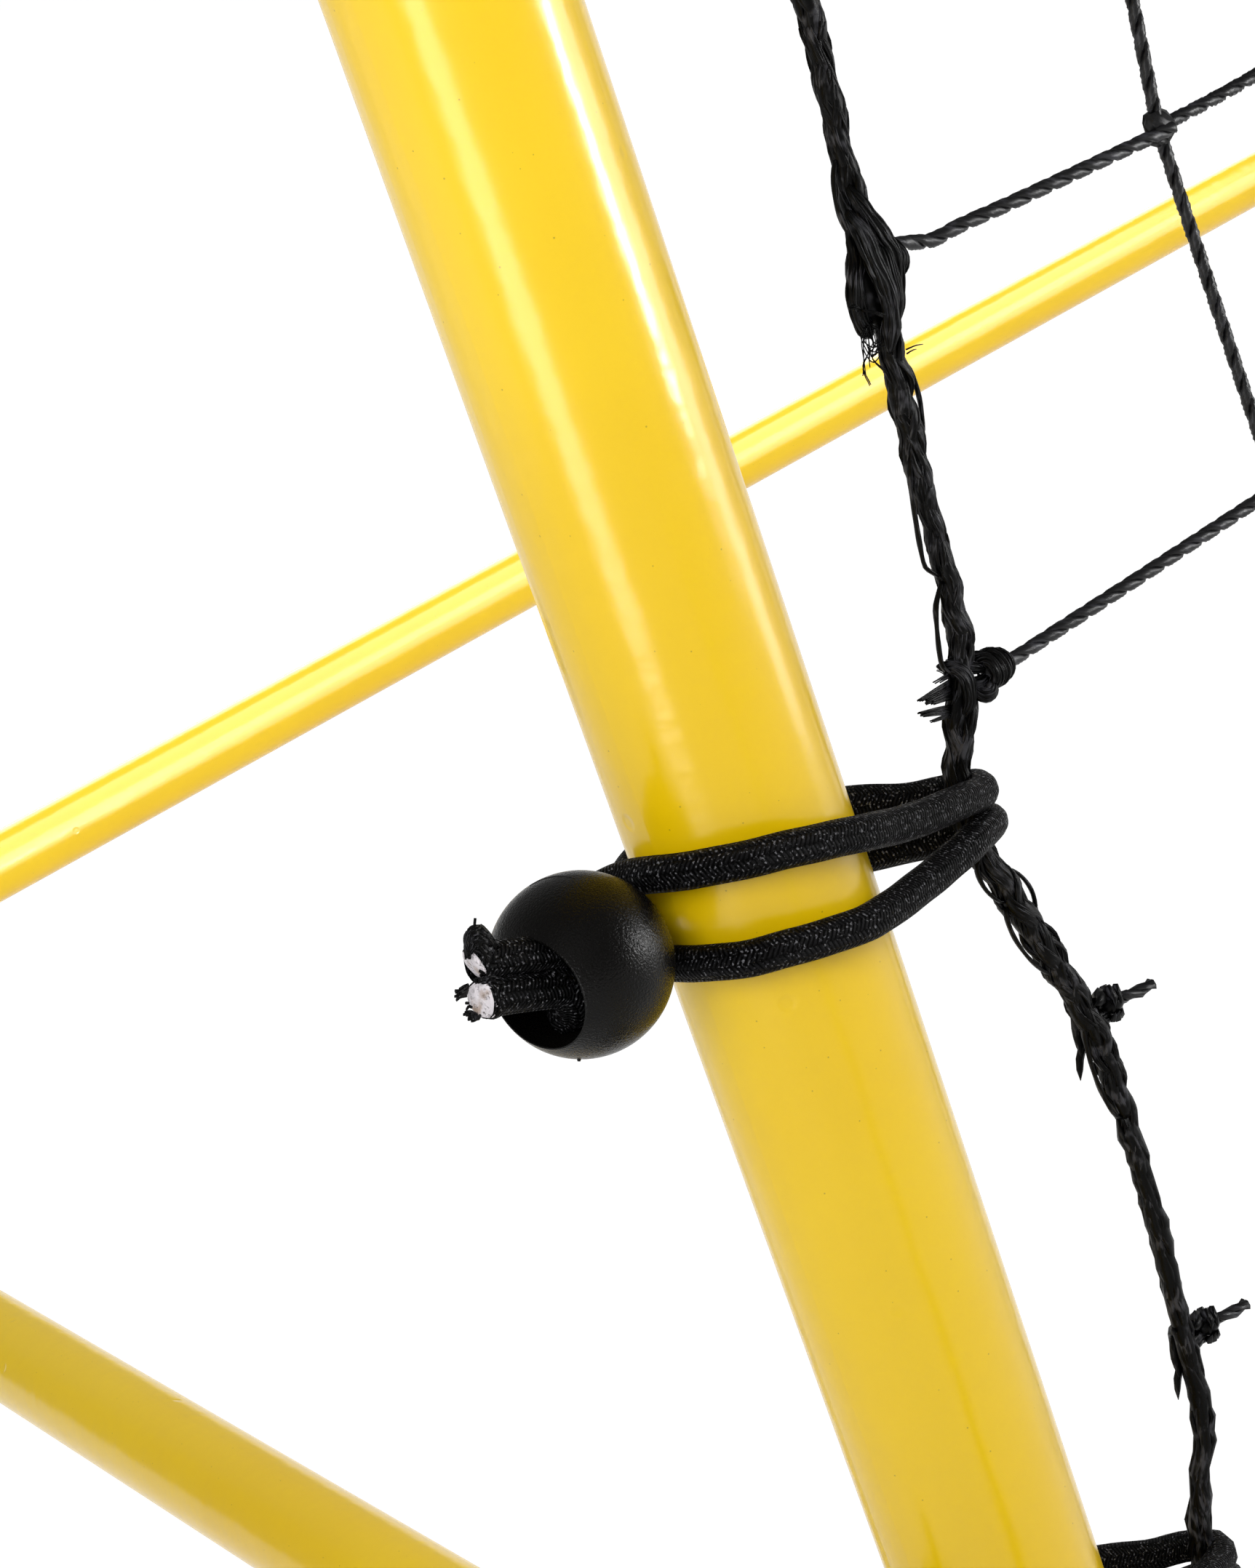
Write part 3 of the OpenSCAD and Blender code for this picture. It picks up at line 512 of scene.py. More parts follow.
# Half the strands wind one way round the rope and half the other; each goes over and under those
# that it crosses: centre = rope + out x (cos turn, sin turn), out swelling at every crossing
def edgeRope(right):
    rope = Surface()
    low, high = ropeLine[0, 0], ropeLine[-1, 0]
    fine = not right
    fineLow, fineHigh = edge["fineLow"], edge["fineHigh"]
    z = np.r_[np.arange(low, fineLow, 4), np.arange(fineLow, fineHigh, 1.0 if fine else 4),
              np.arange(fineHigh, high, 4), high]
    near = (z > fineLow + 5) & (z < fineHigh - 5)
    size = edge["radius"] + 0 * z
    gripAt, gripReach, grip = edge["grip"]
    waistAt, waistReach, waist = edge["waist"]
    for height in bungee["heights"]:
        starts, full, narrows, narrow = (height + step for step in edge["swell"])
        loose = smoothstep(starts, full, z) * (1 - smoothstep(narrows, narrow, z))
        size += (edge["slack"] - edge["radius"]) * loose * (1 - grip * bell(z, height + gripAt, gripReach))
    size = size * (1 + 0.1 * waves(z, (13, 29))) * (1 - waist * bell(z, waistAt, waistReach))
    for way in (-1, 1):
        for k in range(edge["strands"]):
            turn = way * 2 * pi * z / edge["lay"] + 2 * pi * k / edge["strands"]
            turn = turn + 0.45 * waves(z, (23, 41, 67))
            over = np.sin(2 * pi * (z * edge["strands"] / edge["lay"] + k / edge["strands"]) + way * pi / 2)
            out = size * (0.6 + 0.16 * over + 0.12 * waves(z, (9, 17)))
            wide = edge["strandWide"] * (1 + 0.25 * waves(z, (11, 23)))
            path = np.stack([ropeAt(z) + out * np.cos(turn), out * np.sin(turn), z], -1)
            outward = np.stack([np.cos(turn), np.sin(turn), np.zeros_like(z)], -1)
            tube(rope, path, leaningFrame(path, outward), edge["strandDeep"], wide[:, None], 8, right, z)
            if fine:
                splitFibres(rope, path[near], outward[near], wide[near])
    path = np.stack([ropeAt(z), 0 * z, z], -1)
    tube(rope, path, leaningFrame(path, towardsNet), edge["core"], edge["core"], 8, right, z)
    if fine:
        for top, bottom, way, reach in looseStrands:
            z = np.arange(bottom, top + 0.1, 0.9)
            bow = np.sin(pi * np.clip((z - bottom) / (top - bottom), 0, 1)) ** 0.5
            path = np.stack([ropeAt(z) + way * (1.2 + (reach - 1.2) * bow), -0.6 + 0 * z, z], -1)
            looseStrand(rope, path, z)
        for line in longStrands:
            path = smoothPath([(x, -0.6, z) for x, z in line], 0.9)
            looseStrand(rope, path, runOf(path))
    side = sideNames[right]
    rope.piece(side + "_rope_strands", "net_twine", [finishes["rope"]], [side + "_edge_rope"])


for right in (False, True):
    edgeRope(right)


# Net

net = {"pitch": 60.0, "columns": 48, "rows": 16, "twine": 1.12, "lay": 8.6, "sag": 1.3, "knot": 2.7,
       "fineColumns": 2, "fineLow": 100, "fineHigh": 420}


# Two plies wound round each other: each ply's centre circles the twine's at 0.42 of its radius
def twoPly(surface, path, start, sides=8, right=None, carried=False):
    run, radius = runOf(path), net["twine"]
    side, over = directions = (carriedFrame if carried else leaningFrame)(path, acrossNet)
    for ply in (0, 1):
        turn = 2 * pi * run / net["lay"] + pi * ply + start
        centre = path + radius * 0.42 * (np.cos(turn)[:, None] * side + np.sin(turn)[:, None] * over)
        tube(surface, centre, directions, radius * 0.58, radius * 0.84, sides, right, run, turn[:, None])


# A net's corner: the lump of a small tight knot, wider across than high
def knotLump(centres, size, turns):
    latitude = np.linspace(0, pi, 7)[1:-1, None]
    longitude = np.arange(8) * pi / 4
    bulge = 1 + 0.16 * np.sin(3 * longitude + 2.2 * latitude) + 0.1 * np.sin(2 * longitude - 5 * latitude)
    x = np.sin(latitude) * np.cos(longitude) * bulge
    y = np.sin(latitude) * np.sin(longitude) * bulge * 0.75
    z = np.cos(latitude) * np.ones(8) * 1.12
    c, s = np.cos(turns)[:, None, None], np.sin(turns)[:, None, None]
    lump = np.stack([x * c - z * s, y + 0 * c, x * s + z * c], -1)[..., ::-1, :]
    return centres[:, None, None, :] + lump * size


# Between its knots a twine hangs by 4 x sag x t x (1 - t), where t goes from 0 to 1
def hanging(start, end, count):
    t = np.linspace(0, 1, count)[:, None]
    path = start + (end - start) * t
    path[..., 2] -= net["sag"] * 4 * (t * (1 - t))[:, 0]
    return path


def netMesh():
    mesh, fine = Surface(), Surface()
    columns, rows = net["columns"], net["rows"]
    i, j = np.meshgrid(np.arange(columns + 1), np.arange(rows + 1), indexing="ij")
    x, z = (i - columns / 2) * net["pitch"], netBottom + j * net["pitch"]
    stray = chance.normal(0, 1.1, x.shape + (3,)) * [1, 1.6, 1]
    inner = ((i > 0) & (i < columns) & (j > 0) & (j < rows))[..., None]
    knot = np.stack([x, 0 * x, z], -1) + stray * inner
    knot[0, :, 0] = -poleX / mm + ropeAt(z[0]) + 1.5
    knot[-1, :, 0] = -knot[0, :, 0]
    close = (z > net["fineLow"]) & (z < net["fineHigh"]) & (i < net["fineColumns"])
    spans = [(knot[:-1, 1:], knot[1:, 1:], close[:-1, 1:]),
             (knot[1:-1, :-1], knot[1:-1, 1:], close[1:-1, :-1] & close[1:-1, 1:])]
    for a, b, hero in spans:
        path = hanging(a[~hero][:, None], b[~hero][:, None], 4)
        tube(mesh, path, leaningFrame(path, acrossNet), net["twine"], net["twine"], 6,
             along=np.linspace(0, net["pitch"], 4), capped=False)
        for start, end in zip(a[hero], b[hero]):
            if start[0] >= -poleX / mm + 60:
                twoPly(fine, hanging(start, end, 56), chance.uniform(0, pi))
    centres = knot[1:-1, 1:].reshape(-1, 3)
    mesh.grid(knotLump(centres, net["knot"], chance.uniform(-0.6, 0.6, len(centres))))
    mesh.piece("net_twines", "net_twine", [finishes["far"]], ["net_mesh"])
    fine.piece("net_twines_near", "net_twine", [finishes["twine"]])
    return knot


netKnots = netMesh()


# Knots of the net on the edge ropes. Each knot's strands, from the rope's axis at the knot: x
# towards the net, y across, z up. A strand is (thin, broad, points); the first knot is a loose flat
# hitch, the second a tight round one.
flatKnot = {
    "lead": ((62, 0, -0.9), (30, 0, 0.3), (18.1, 0, 0.9), (12.1, 0, 0.9), (9, -0.1, 1.7), (6, -0.6, 2.7),
             (3.4, -1, 3)),
    "core": ((-1.7, -0.2, -0.4), (3.2, 2.3, 6.2)),
    "strands": (
        (1.1, 1.45, ((-1.6, -0.4, 9.4), (-2.5, -1.2, 6.6), (-3.7, -2, 3.8), (-5.2, -2.3, 1.6),
                     (-6.1, -2.2, -1.4), (-6, -1.8, -3.8), (-5, -0.9, -5.8), (-3.2, 0.6, -7.6))),
        (0.8, 1.75, ((-2.7, -1.8, 11), (-2.4, -3.1, 7.2), (-2.1, -3.8, 2.2), (-1.8, -3.9, -2),
                     (-2.1, -3.2, -6), (-2.6, -1.6, -10.4))),
        (1, 1.3, ((-0.8, -1, 14), (-0.2, -2.2, 11), (0.5, -2.6, 8.2), (1.6, -2.7, 5.2), (2.5, -2.6, 3),
                  (2.5, -2.2, 0.4), (1.7, -1.9, -2.4), (0.8, -1.5, -5.4), (-0.2, -0.6, -8))),
        (1.1, 1.2, ((1.8, 1, 5.6), (3.1, -0.5, 4.4), (4.1, -1.6, 2.2), (3.8, -2.1, 0.7),
                    (2.6, -1.8, -0.6), (1.2, -0.6, -1.8))),
        (0.7, 1.1, ((0.9, -1.6, 6), (0.8, -2.9, 3.2), (0.6, -3.2, 0.4), (0.3, -3.1, -2.6),
                    (-0.6, -2.7, -5.4), (-1.2, -1.4, -9.6))),
        (0.9, 1.2, ((-0.4, 1, 8), (0.6, 2.5, 3), (1.2, 2.7, -1.6), (0.2, 1.8, -7))),
    ),
}
roundKnot = {
    "lead": ((67, 0, -0.8), (40, 0, -1.3), (20, 0, -1.6), (14, 0, -1.7), (11, -0.3, -1.6),
             (8.6, -0.8, -1.2), (6.6, -1, -0.8)),
    "core": ((6, -0.9, -0.9), (2.3, 1.6, 1.7)),
    "strands": (
        (0.85, 1.15, ((1, 1, 1.8), (3.4, 0.4, 1.6), (4.6, -1.9, 1.3), (4.9, -2.9, -0.6),
                      (4.7, -2.2, -2.3), (4.4, -0.2, -3), (4.6, 1.2, -1.4))),
        (0.85, 1.15, ((4.6, 1.4, -0.4), (5.6, 0.6, 1.2), (6.2, -1.8, 1.2), (6.4, -2.9, -0.8),
                      (6.1, -2.2, -2.5), (5.6, -0.2, -3.2), (5.6, 1, -1.6))),
        (0.8, 1.05, ((6, 1.4, -0.6), (7, 0.2, 0.8), (7.7, -1.6, 0.6), (7.8, -2.3, -0.9),
                     (7.4, -1.8, -2.4), (6.6, -0.2, -3), (6, 1, -2))),
        (0.95, 1.25, ((4.6, -1.2, -1.9), (3.8, -2.4, -2.6), (2.6, -2.9, -3.2), (1.4, -2.5, -3),
                      (0.8, -1.5, -2), (1.6, -0.4, -1.4))),
        (1, 1.1, ((3.8, -0.8, -2.5), (2.6, -1.6, -2.6), (1.4, -1.4, -2.5), (0, -0.6, -2.3))),
        (0.6, 1.2, ((-2.2, 1.2, 3.2), (-0.9, -1.2, 2.6), (-0.2, -2, 0.6), (-0.9, -2.2, -2.8),
                    (-2.6, -1, -5.6))),
        (0.8, 1.1, ((-0.6, 0.8, 3.4), (0.9, -0.4, 2.2), (2.4, -1.2, 1), (3.8, -1.2, 0.4), (5, -0.6, 0))),
        (1.2, 1.3, ((-0.6, 0.2, -0.4), (0.8, -0.6, -1.2), (2.2, -1.1, -1.6), (3.6, -1.1, -1.6),
                    (5.2, -0.6, -1.4))),
        (1, 1.3, ((0.2, -0.2, -3), (1.6, -0.6, -2.5), (3, -0.6, -2.1), (4.6, -0.4, -1.8))),
        (0.5, 0.8, ((1, -1.4, -2.8), (-0.8, -2, -4.8), (-2.3, -2.1, -6.8), (-3.8, -1.4, -9.4))),
    ),
}
bundled = {"fibres": 13, "fibreWide": 0.36, "ends": 3.5, "share": 0.8}


# A strand of the rope as a flat core that narrows to nothing at both ends, with fibres laid on it
def bundle(surface, path, thin, broad, count, right, sides):
    run = runOf(path)
    swell = np.clip(np.minimum(run, run[-1] - run) / bundled["ends"], 0.0, 1) ** 0.5
    swell = swell * (1 + 0.1 * waves(run, (6, 11)))
    side, over = directions = leaningFrame(path, acrossNet)
    core = (bundled["share"] if count else 1.0) * swell[:, None]
    tube(surface, path, directions, thin * core + 0.05, broad * core + 0.05, sides, right, run)
    for k in range(count):
        turn = 2 * pi * (k + chance.uniform(-0.3, 0.3)) / count
        turn = turn + chance.uniform(-0.7, 0.7) * run / run[-1] + 0.14 * waves(run, (7, 12))
        out = swell * (0.84 + 0.1 * waves(run, (5, 9)))
        c, s = np.cos(turn)[:, None], np.sin(turn)[:, None]
        centre = path + side * c * (thin * out)[:, None] + over * s * (broad * out)[:, None]
        outward = side * c * broad + over * s * thin
        wide = bundled["fibreWide"] * chance.uniform(0.6, 1.35) * (0.25 + 0.75 * swell)
        directions = leaningFrame(centre, outward)
        tube(surface, centre, directions, edge["fibreThin"], wide[:, None], 5, right, run)


# Each knot is a round lump with strands over it; the net's twine comes to it as two plies
def ropeKnots(right):
    knots, twines = Surface(), Surface()
    side = sideNames[right]
    latitude = np.linspace(0, pi, 12)[1:-1, None]
    longitude = np.arange(14) * 2 * pi / 14
    ball = np.stack([np.sin(latitude) * np.cos(longitude), -np.sin(latitude) * np.sin(longitude),
                     np.cos(latitude) + 0 * longitude], -1)
    for row in range(1, net["rows"] + 1):
        z = netBottom + row * net["pitch"]
        hero = not right and row in (3, 4)
        kind = roundKnot if row % 4 else flatKnot
        base = np.array([ropeAt(z), 0, z])
        flip = np.array([1, 1, 1] if hero else [1, chance.choice([-1, 1]), chance.choice([-1, 1])])
        step, sides = (0.5, 10) if hero else (1.6, 6)
        for thin, broad, points in kind["strands"]:
            path = smoothPath(base + np.array(points) * flip, step)
            bundle(knots, path, thin, broad, bundled["fibres"] if hero else 0, right, sides)
        middle, size = kind["core"]
        lump = ball[:, ::-1] if flip[1] * flip[2] < 0 else ball
        knots.grid(atPole(base + (np.array(middle) + lump * size) * flip, right))
        lead = np.array(kind["lead"]) if hero else np.array(kind["lead"][3:])
        path = smoothPath(base + lead * flip, 0.45 if hero else 2.4)
        twoPly(twines, path, chance.uniform(0, pi), 8 if hero else 6, right, carried=True)
    knots.piece(side + "_rope_knots", "net_twine", [finishes["rope"]])
    twines.piece(side + "_knot_twines", "net_twine", [finishes["twine"]])


for right in (False, True):
    ropeKnots(right)


# Loose ends and hairs at the knots

# A bundle of flat fibres: where it leaves the knot, from and to, and where its tips lie, from and
# to, all beside the pole in millimetres, with the number of fibres and their breadth
frayedBundles = (
    ((44.4, 0.3, 228.5), (43.2, 0.3, 225.7), (34.5, -2.2, 229.9), (36.2, -2.2, 228.2), 13, 0.34),
    ((43.2, 0.3, 224.5), (42.6, 0.3, 223.3), (33.7, -2.2, 228.1), (34.2, -2.2, 227.3), 8, 0.28),
    ((42.4, 0.3, 223.7), (42.2, 0.3, 223.1), (34.7, -2.2, 226.1), (35.8, -2.2, 225.6), 4, 0.2),
    ((44.2, 0.3, 229.5), (43.8, 0.3, 228.9), (38.0, -2.2, 231.0), (38.6, -2.2, 230.4), 4, 0.2),
    ((42.8, 0.3, 229.5), (42.6, 0.3, 229.3), (39.3, -2.2, 232.5), (39.4, -2.2, 232.3), 2, 0.13),
    ((51.0, -2.5, 277.2), (50.9, -2.5, 276.6), (53.5, -2.9, 277.0), (53.0, -2.9, 276.6), 2, 0.14),
    ((45.2, -2.9, 286.0), (45.4, -2.9, 285.6), (42.9, -3.0, 286.9), (43.1, -3.0, 286.6), 3, 0.16),
    ((45.0, -3.2, 285.6), (45.2, -3.2, 285.4), (48.1, -4.6, 283.6), (47.9, -4.6, 283.2), 3, 0.16),
)
fray = {"thin": 0.14, "tip": 0.5, "hair": 0.1, "hairBase": (45.6, -2.4, 282.8)}
# Curled hairs under the upper knot, each as steps from the root
curls = (
    ((0, 0, 0), (-1.4, 0, -1.6), (-2.4, 0, -4.0), (-2.5, 0, -5.6)),
    ((0.2, 0, 0), (-0.8, 0, -2.6), (-2.3, 0, -4.6), (-2.2, 0, -7.2)),
    ((0, 0, 0), (-0.9, 0.3, -2.0), (0.2, 0.3, -3.6), (1.6, 0.2, -2.8), (1.6, 0, -1.2)),
    ((0.4, 0, 0), (0.2, -0.3, -2.4), (-0.6, 0, -4.4), (0.8, 0, -7.2)),
    ((1.2, 0, -0.6), (0.2, 0, -1.2), (0.5, 0, -3.0), (2.0, 0, -3.6)),
    ((0.8, 0, 0), (1.8, 0, -1.6), (1.2, 0, -3.4), (-0.4, 0, -3.8), (-0.8, 0, -2.4)),
    ((0.2, 0, 0), (-1.0, 0, -0.8), (-1.6, 0, -2.8), (-0.6, 0, -4.6), (0.8, 0, -4.2)),
    ((1.0, 0, -0.4), (0.4, 0, -2.6), (-0.8, 0, -3.6), (-1.6, 0, -5.4)),
)


# The points that lie a share of the way from one place to another
def between(start, end, share):
    return np.array(start) * (1 - share) + np.array(end) * share


# Each fibre is a thin curve from root to tip, narrower at the tip
def frays():
    ends = Surface()
    for root, rootEnd, tip, tipEnd, count, broad in frayedBundles:
        for share in np.linspace(0, 1, count):
            start, end = between(root, rootEnd, share), between(tip, tipEnd, share)
            end = start + (end - start) * chance.uniform(0.8, 1.03) + [0, chance.normal(0, 0.2), 0]
            path = smoothPath([start, (start + end) / 2 + [0, -0.3, 0.2], end], 0.6)
            taper = np.linspace(1.0, fray["tip"], len(path))[:, None]
            tube(ends, path, leaningFrame(path, acrossNet), fray["thin"], broad * taper, 5, False)
    for steps in curls:
        for again in range(2):
            path = smoothPath(np.array(fray["hairBase"]) + np.array(steps) * chance.uniform(0.85, 1.1)
                              + chance.normal(0, 0.16, (len(steps), 3)), 0.5)
            tube(ends, path, leaningFrame(path, acrossNet), fray["hair"], fray["hair"], 4, False)
    ends.piece("frayed_ends", "net_twine", [finishes["rope"]])


frays()


# Bottom rope

foot = {"strands": 8, "thin": 0.6, "wide": 1.15, "core": 1.4, "hitchTurns": 2.2, "hitchRadius": 3.7,
        "hitchLength": 6, "hitchTwine": 1.1, "past": 2.2, "out": 0.68}


# Strands wound round a straight core: centre = rope + out x (cos turn, sin turn). A hitch is a
# helix of the net's twine round the rope.
def bottomRope():
    rope, knots = Surface(), Surface()
    half = ropeHigh.x / mm + foot["past"]
    x = np.arange(-half, half + 1, 6.0)
    for k in range(foot["strands"] + 1):
        wound = k < foot["strands"]
        turn = 2 * pi * (k / foot["strands"] + x / edge["lay"]) + 0.4 * waves(x, (29, 53))
        out = edge["radius"] * (foot["out"] if wound else 0.0) * (1 + 0.15 * waves(x, (23, 47)))
        path = np.stack([x, out * np.cos(turn), netBottom + out * np.sin(turn)], -1)
        outward = np.stack([0 * x, np.cos(turn), np.sin(turn)], -1)
        thin = foot["thin"] if wound else foot["core"]
        tube(rope, path, leaningFrame(path, outward), thin, foot["wide"], 6, along=x)
    rope.piece("foot_rope", "net_twine", [finishes["rope"]], ["bottom_rope"])
    t = np.linspace(0, 1, 30)
    turn = 2 * pi * foot["hitchTurns"] * t
    helix = np.stack([(t - 0.5) * foot["hitchLength"], foot["hitchRadius"] * np.cos(turn),
                      foot["hitchRadius"] * np.sin(turn)], -1)
    for column in range(1, net["columns"]):
        path = helix + [netKnots[column, 0, 0], 0, netBottom]
        tube(knots, path, carriedFrame(path, towardsNet), foot["hitchTwine"], foot["hitchTwine"], 6)
    knots.piece("foot_rope_hitches", "net_twine", [finishes["far"]])


bottomRope()


# Top cord and tape

topCord = {"radius": 2.5, "eyeX": 20.1, "loop": 7.4,
           "knot": ((9, 0, 0), (4, 2.6, 1.5), (-2, 3.2, 3), (-4.5, -1.5, 2.5), (-2, -4.0, -2),
                    (3, -3.0, -3.6), (5, 1.5, -2.6), (1, 4.0, -1.0), (-4, 2.5, 0.5), (-7, 0.5, 0))}
tape = {"half": tapeHigh.x / mm, "low": tapeLow.z / mm, "thick": 0.9, "apart": 0.95, "sleeve": 3.35,
        "wrinkle": 0.22, "waves": ((31, 0.4), (47, 2.1), (83, 4.0), (190, 1.0)), "free": 45,
        "under": 6.5, "wrap": 1.25, "stitch": 5.0, "stitchPitch": 7.0, "stitchDeep": 0.42,
        "stitchWide": 0.3}
cordHeight = (cordLow.z + cordHigh.z) / 2 / mm


# At each end a ring through the cap's eye and a knot after it, and a straight cord between them
def topCordPiece():
    cord, z = Surface(), cordHeight
    radius, eyeX, loop = topCord["radius"], topCord["eyeX"], topCord["loop"]
    knotX = eyeX + 2 * loop
    half = poleX / mm - knotX
    turn = np.linspace(0, 2 * pi, 48, endpoint=False)
    ring = np.stack([eyeX + loop + loop * np.cos(turn), loop * np.sin(turn), z + 0 * turn], -1)
    radial = unit(ring - [eyeX + loop, 0, z])
    over = np.cross(unit(np.gradient(ring, axis=0)), radial)
    knot = smoothPath(np.array(topCord["knot"]) + [knotX, 0, z], 0.9)
    for right in (False, True):
        tube(cord, ring, (radial, over), radius, radius, 14, right, np.linspace(0, 46, 49), closed=True)
        tube(cord, knot, carriedFrame(knot, upwards), radius, radius, 12, right)
    x = np.arange(-half, half + 1, 8.0)
    path = np.stack([x, 0 * x, z + 0 * x], -1)
    tube(cord, path, leaningFrame(path, acrossNet), radius, radius, 12, along=x)
    cord.piece("headline_cord", "elastic_cord", [finishes["sheath"]], ["top_cord"])


# The tape's profile goes up in front, over the cord in an arc and down behind, and is carried along
# x. Its faces sway by a sum of sines along x, more where the cloth is free. Rows of stitches follow.
def headband():
    z = cordHeight
    x = np.linspace(-tape["half"], tape["half"], 361)
    rise = np.linspace(tape["low"], z - tape["under"], 11)
    over = np.linspace(-tape["wrap"], pi + tape["wrap"], 19)
    front = np.stack([-tape["apart"] + 0 * rise, rise], -1)
    bend = np.stack([-tape["sleeve"] * np.cos(over), z + tape["sleeve"] * np.sin(over)], -1)
    profile = np.vstack([front, bend, front[::-1] * [-1, 1]])
    share = np.clip((z - profile[:, 1]) / tape["free"], 0, 1)
    share = share * np.sin(pi * share) ** 0.5
    pucker = tape["wrinkle"] * sum(np.sin(2 * pi * x / w + p) for w, p in tape["waves"])
    sway = pucker[:, None] * (0.35 + share[None])
    y = profile[None, :, 0] + sway * (share[None] > 0)
    points = np.stack(np.broadcast_arrays(x[:, None], y, profile[None, :, 1]), -1)
    cloth, stitches = Surface(), Surface()
    cloth.grid(points, along=x, wrapped=False)
    made = cloth.piece("headband_tape", "tape_cloth", [finishes["tape"]], ["top_tape"])
    solid = made.modifiers.new("thickness", "SOLIDIFY")
    solid.thickness, solid.offset = tape["thick"] * mm, 0
    place = np.linspace(0, tape["stitch"], 3)
    sx = np.arange(-tape["half"] + 4, tape["half"] - 6, tape["stitchPitch"])[:, None] + place
    bow = np.array([0.05, 0.36, 0.05])
    for height in (z - 6.2, tape["low"] + 5, tape["low"] + 8):
        free = 0.35 + np.interp(height, [z - tape["free"], z - 6], [0.8, 0.15])
        for way in (-1, 1):
            sy = way * (tape["apart"] + tape["thick"] / 2 + bow) + np.interp(sx, x, pucker) * free
            path = np.stack([sx, sy, np.full_like(sx, height)], -1)
            tube(stitches, path, leaningFrame(path, upwards), tape["stitchDeep"], tape["stitchWide"], 4,
                 along=place)
    stitches.piece("headband_stitches", "tape_cloth", [finishes["tape"]])


topCordPiece()
headband()


# Bungees

# One cord's whole way, from one cut end to the other, beside a pole: x towards the net, y across,
# z from the bungee's own height. It leaves the ball, goes round the back of the pole and the rope,
# comes back in front, hooks over its own stems and goes round once more.
cordRoute = (
    (-49.8, -8.0, 18.7), (-45.7, -7.8, 17.2), (-41.7, -7.4, 15.4), (-37.2, -6.2, 13.2), (-32.6, -4.2, 11.2),
    (-27.0, -1.3, 10.3), (-21.6, 2.6, 8.4), (-16.8, 8.8, 7.0), (-9.3, 16.2, 7.4), (0.0, 18.7, 8.0),
    (6.3, 17.6, 7.4), (16.5, 14.0, 4.0), (26.6, 10.2, 0.6), (34.0, 7.2, -2.4), (38.4, 5.4, -3.4),
    (40.4, 3.2, -3.4), (41.4, 0.0, -3.0), (40.0, -3.0, -2.6), (37.2, -5.0, -1.9), (33.4, -7.0, -0.4),
    (27.0, -10.0, 1.8), (19.6, -12.8, 4.2), (12.6, -15.4, 7.0), (5.7, -17.8, 9.9), (-4.3, -18.2, 13.2),
    (-11.6, -14.6, 14.4), (-16.9, -8.1, 14.7), (-18.9, 0.0, 13.8), (-20.6, 7.0, 11.6), (-19.4, 12.6, 9.2),
    (-18.4, 14.2, 5.6), (-19.0, 12.6, 2.2), (-19.6, 7.4, 0.7), (-18.7, 0.0, 0.1), (-14.6, -11.6, 0.3),
    (-8.2, -16.8, -0.1), (0.4, -18.7, -1.7), (6.6, -17.5, -3.0), (14.2, -14.7, -4.3), (22.3, -11.8, -5.3),
    (30.8, -8.8, -6.0), (36.6, -5.6, -6.9), (39.9, -3.1, -7.8), (41.6, 0.0, -8.8), (40.4, 3.4, -9.8),
    (37.0, 6.3, -10.4), (28.4, 9.6, -8.6), (17.0, 13.8, -6.2), (6.3, 17.7, -3.4), (0.0, 18.7, -2.0),
    (-9.3, 16.2, 1.6), (-16.6, 8.8, 4.3), (-21.6, 2.6, 5.2), (-27.0, -1.3, 5.6), (-33.0, -4.0, 6.0),
    (-37.2, -6.6, 7.6), (-40.2, -7.7, 9.4), (-44.2, -8.6, 11.4), (-48.0, -9.1, 13.2), (-51.2, -9.2, 14.3),
)
loop = {"radius": bungee["cord"] / 2, "core": 2.3, "ball": 12.7, "mouth": 7.8, "mouthDepth": 7.4,
        "bore": 5.4, "centre": (-33.1, -4.0, 8.6), "axis": (-0.944, -0.304, 0.125), "columns": 10,
        "braid": 0.06,
        "seam": ((-0.074, 0.318, 0.945), (0.03, 0.24, 0.97), (0.098, 0.14, 0.985), (0.16, -0.02, 0.987),
                 (0.198, -0.178, 0.964)),
        "gate": (-0.535, -0.222, -0.815)}


# The cord as a tube whose radius swells at each column of stitches
def cordTube(surface, path, right, sides):
    run = runOf(path)
    u = np.arange(sides) / sides
    column = np.abs(np.sin(pi * u * loop["columns"]))
    radius = loop["radius"] - loop["braid"] + loop["braid"] * column[None]
    radius = radius + 0.03 * np.sin(2 * pi * (u[None] + run[:, None] / 9))
    tube(surface, path, carriedFrame(path, upwards), radius, radius, sides, right, run, capped=False)


# A cut end: the pale core's flat face, a little domed, in the ragged rim of the sheath. `face` is
# the way that the cut looks.
def cutEnd(surface, tip, face, right, grow):
    face = unit(np.array(face))
    side = unit(np.cross(face, upwards))
    over = np.cross(face, side)
    angle = np.arange(24) * 2 * pi / 24
    share = np.array([1.1, 1.12, 1.06, 1.0, 0.985, 0.9, 0.6, 0.25])
    push = np.array([-2.4, -0.4, 0.0, -0.1, 0.15, 0.32, 0.42, 0.44])
    ragged = 1 + 0.03 * np.sin(3 * angle + 1) + 0.025 * np.sin(7 * angle)
    radius = loop["core"] * share[:, None] * ragged
    points = (tip + face * push[:, None, None]
              + radius[..., None] * grow * (side * np.cos(angle)[:, None] + over * np.sin(angle)[:, None]))
    surface.grid(atPole(points[:4], right), capped=False)
    surface.grid(atPole(points[3:], right), finish=1)


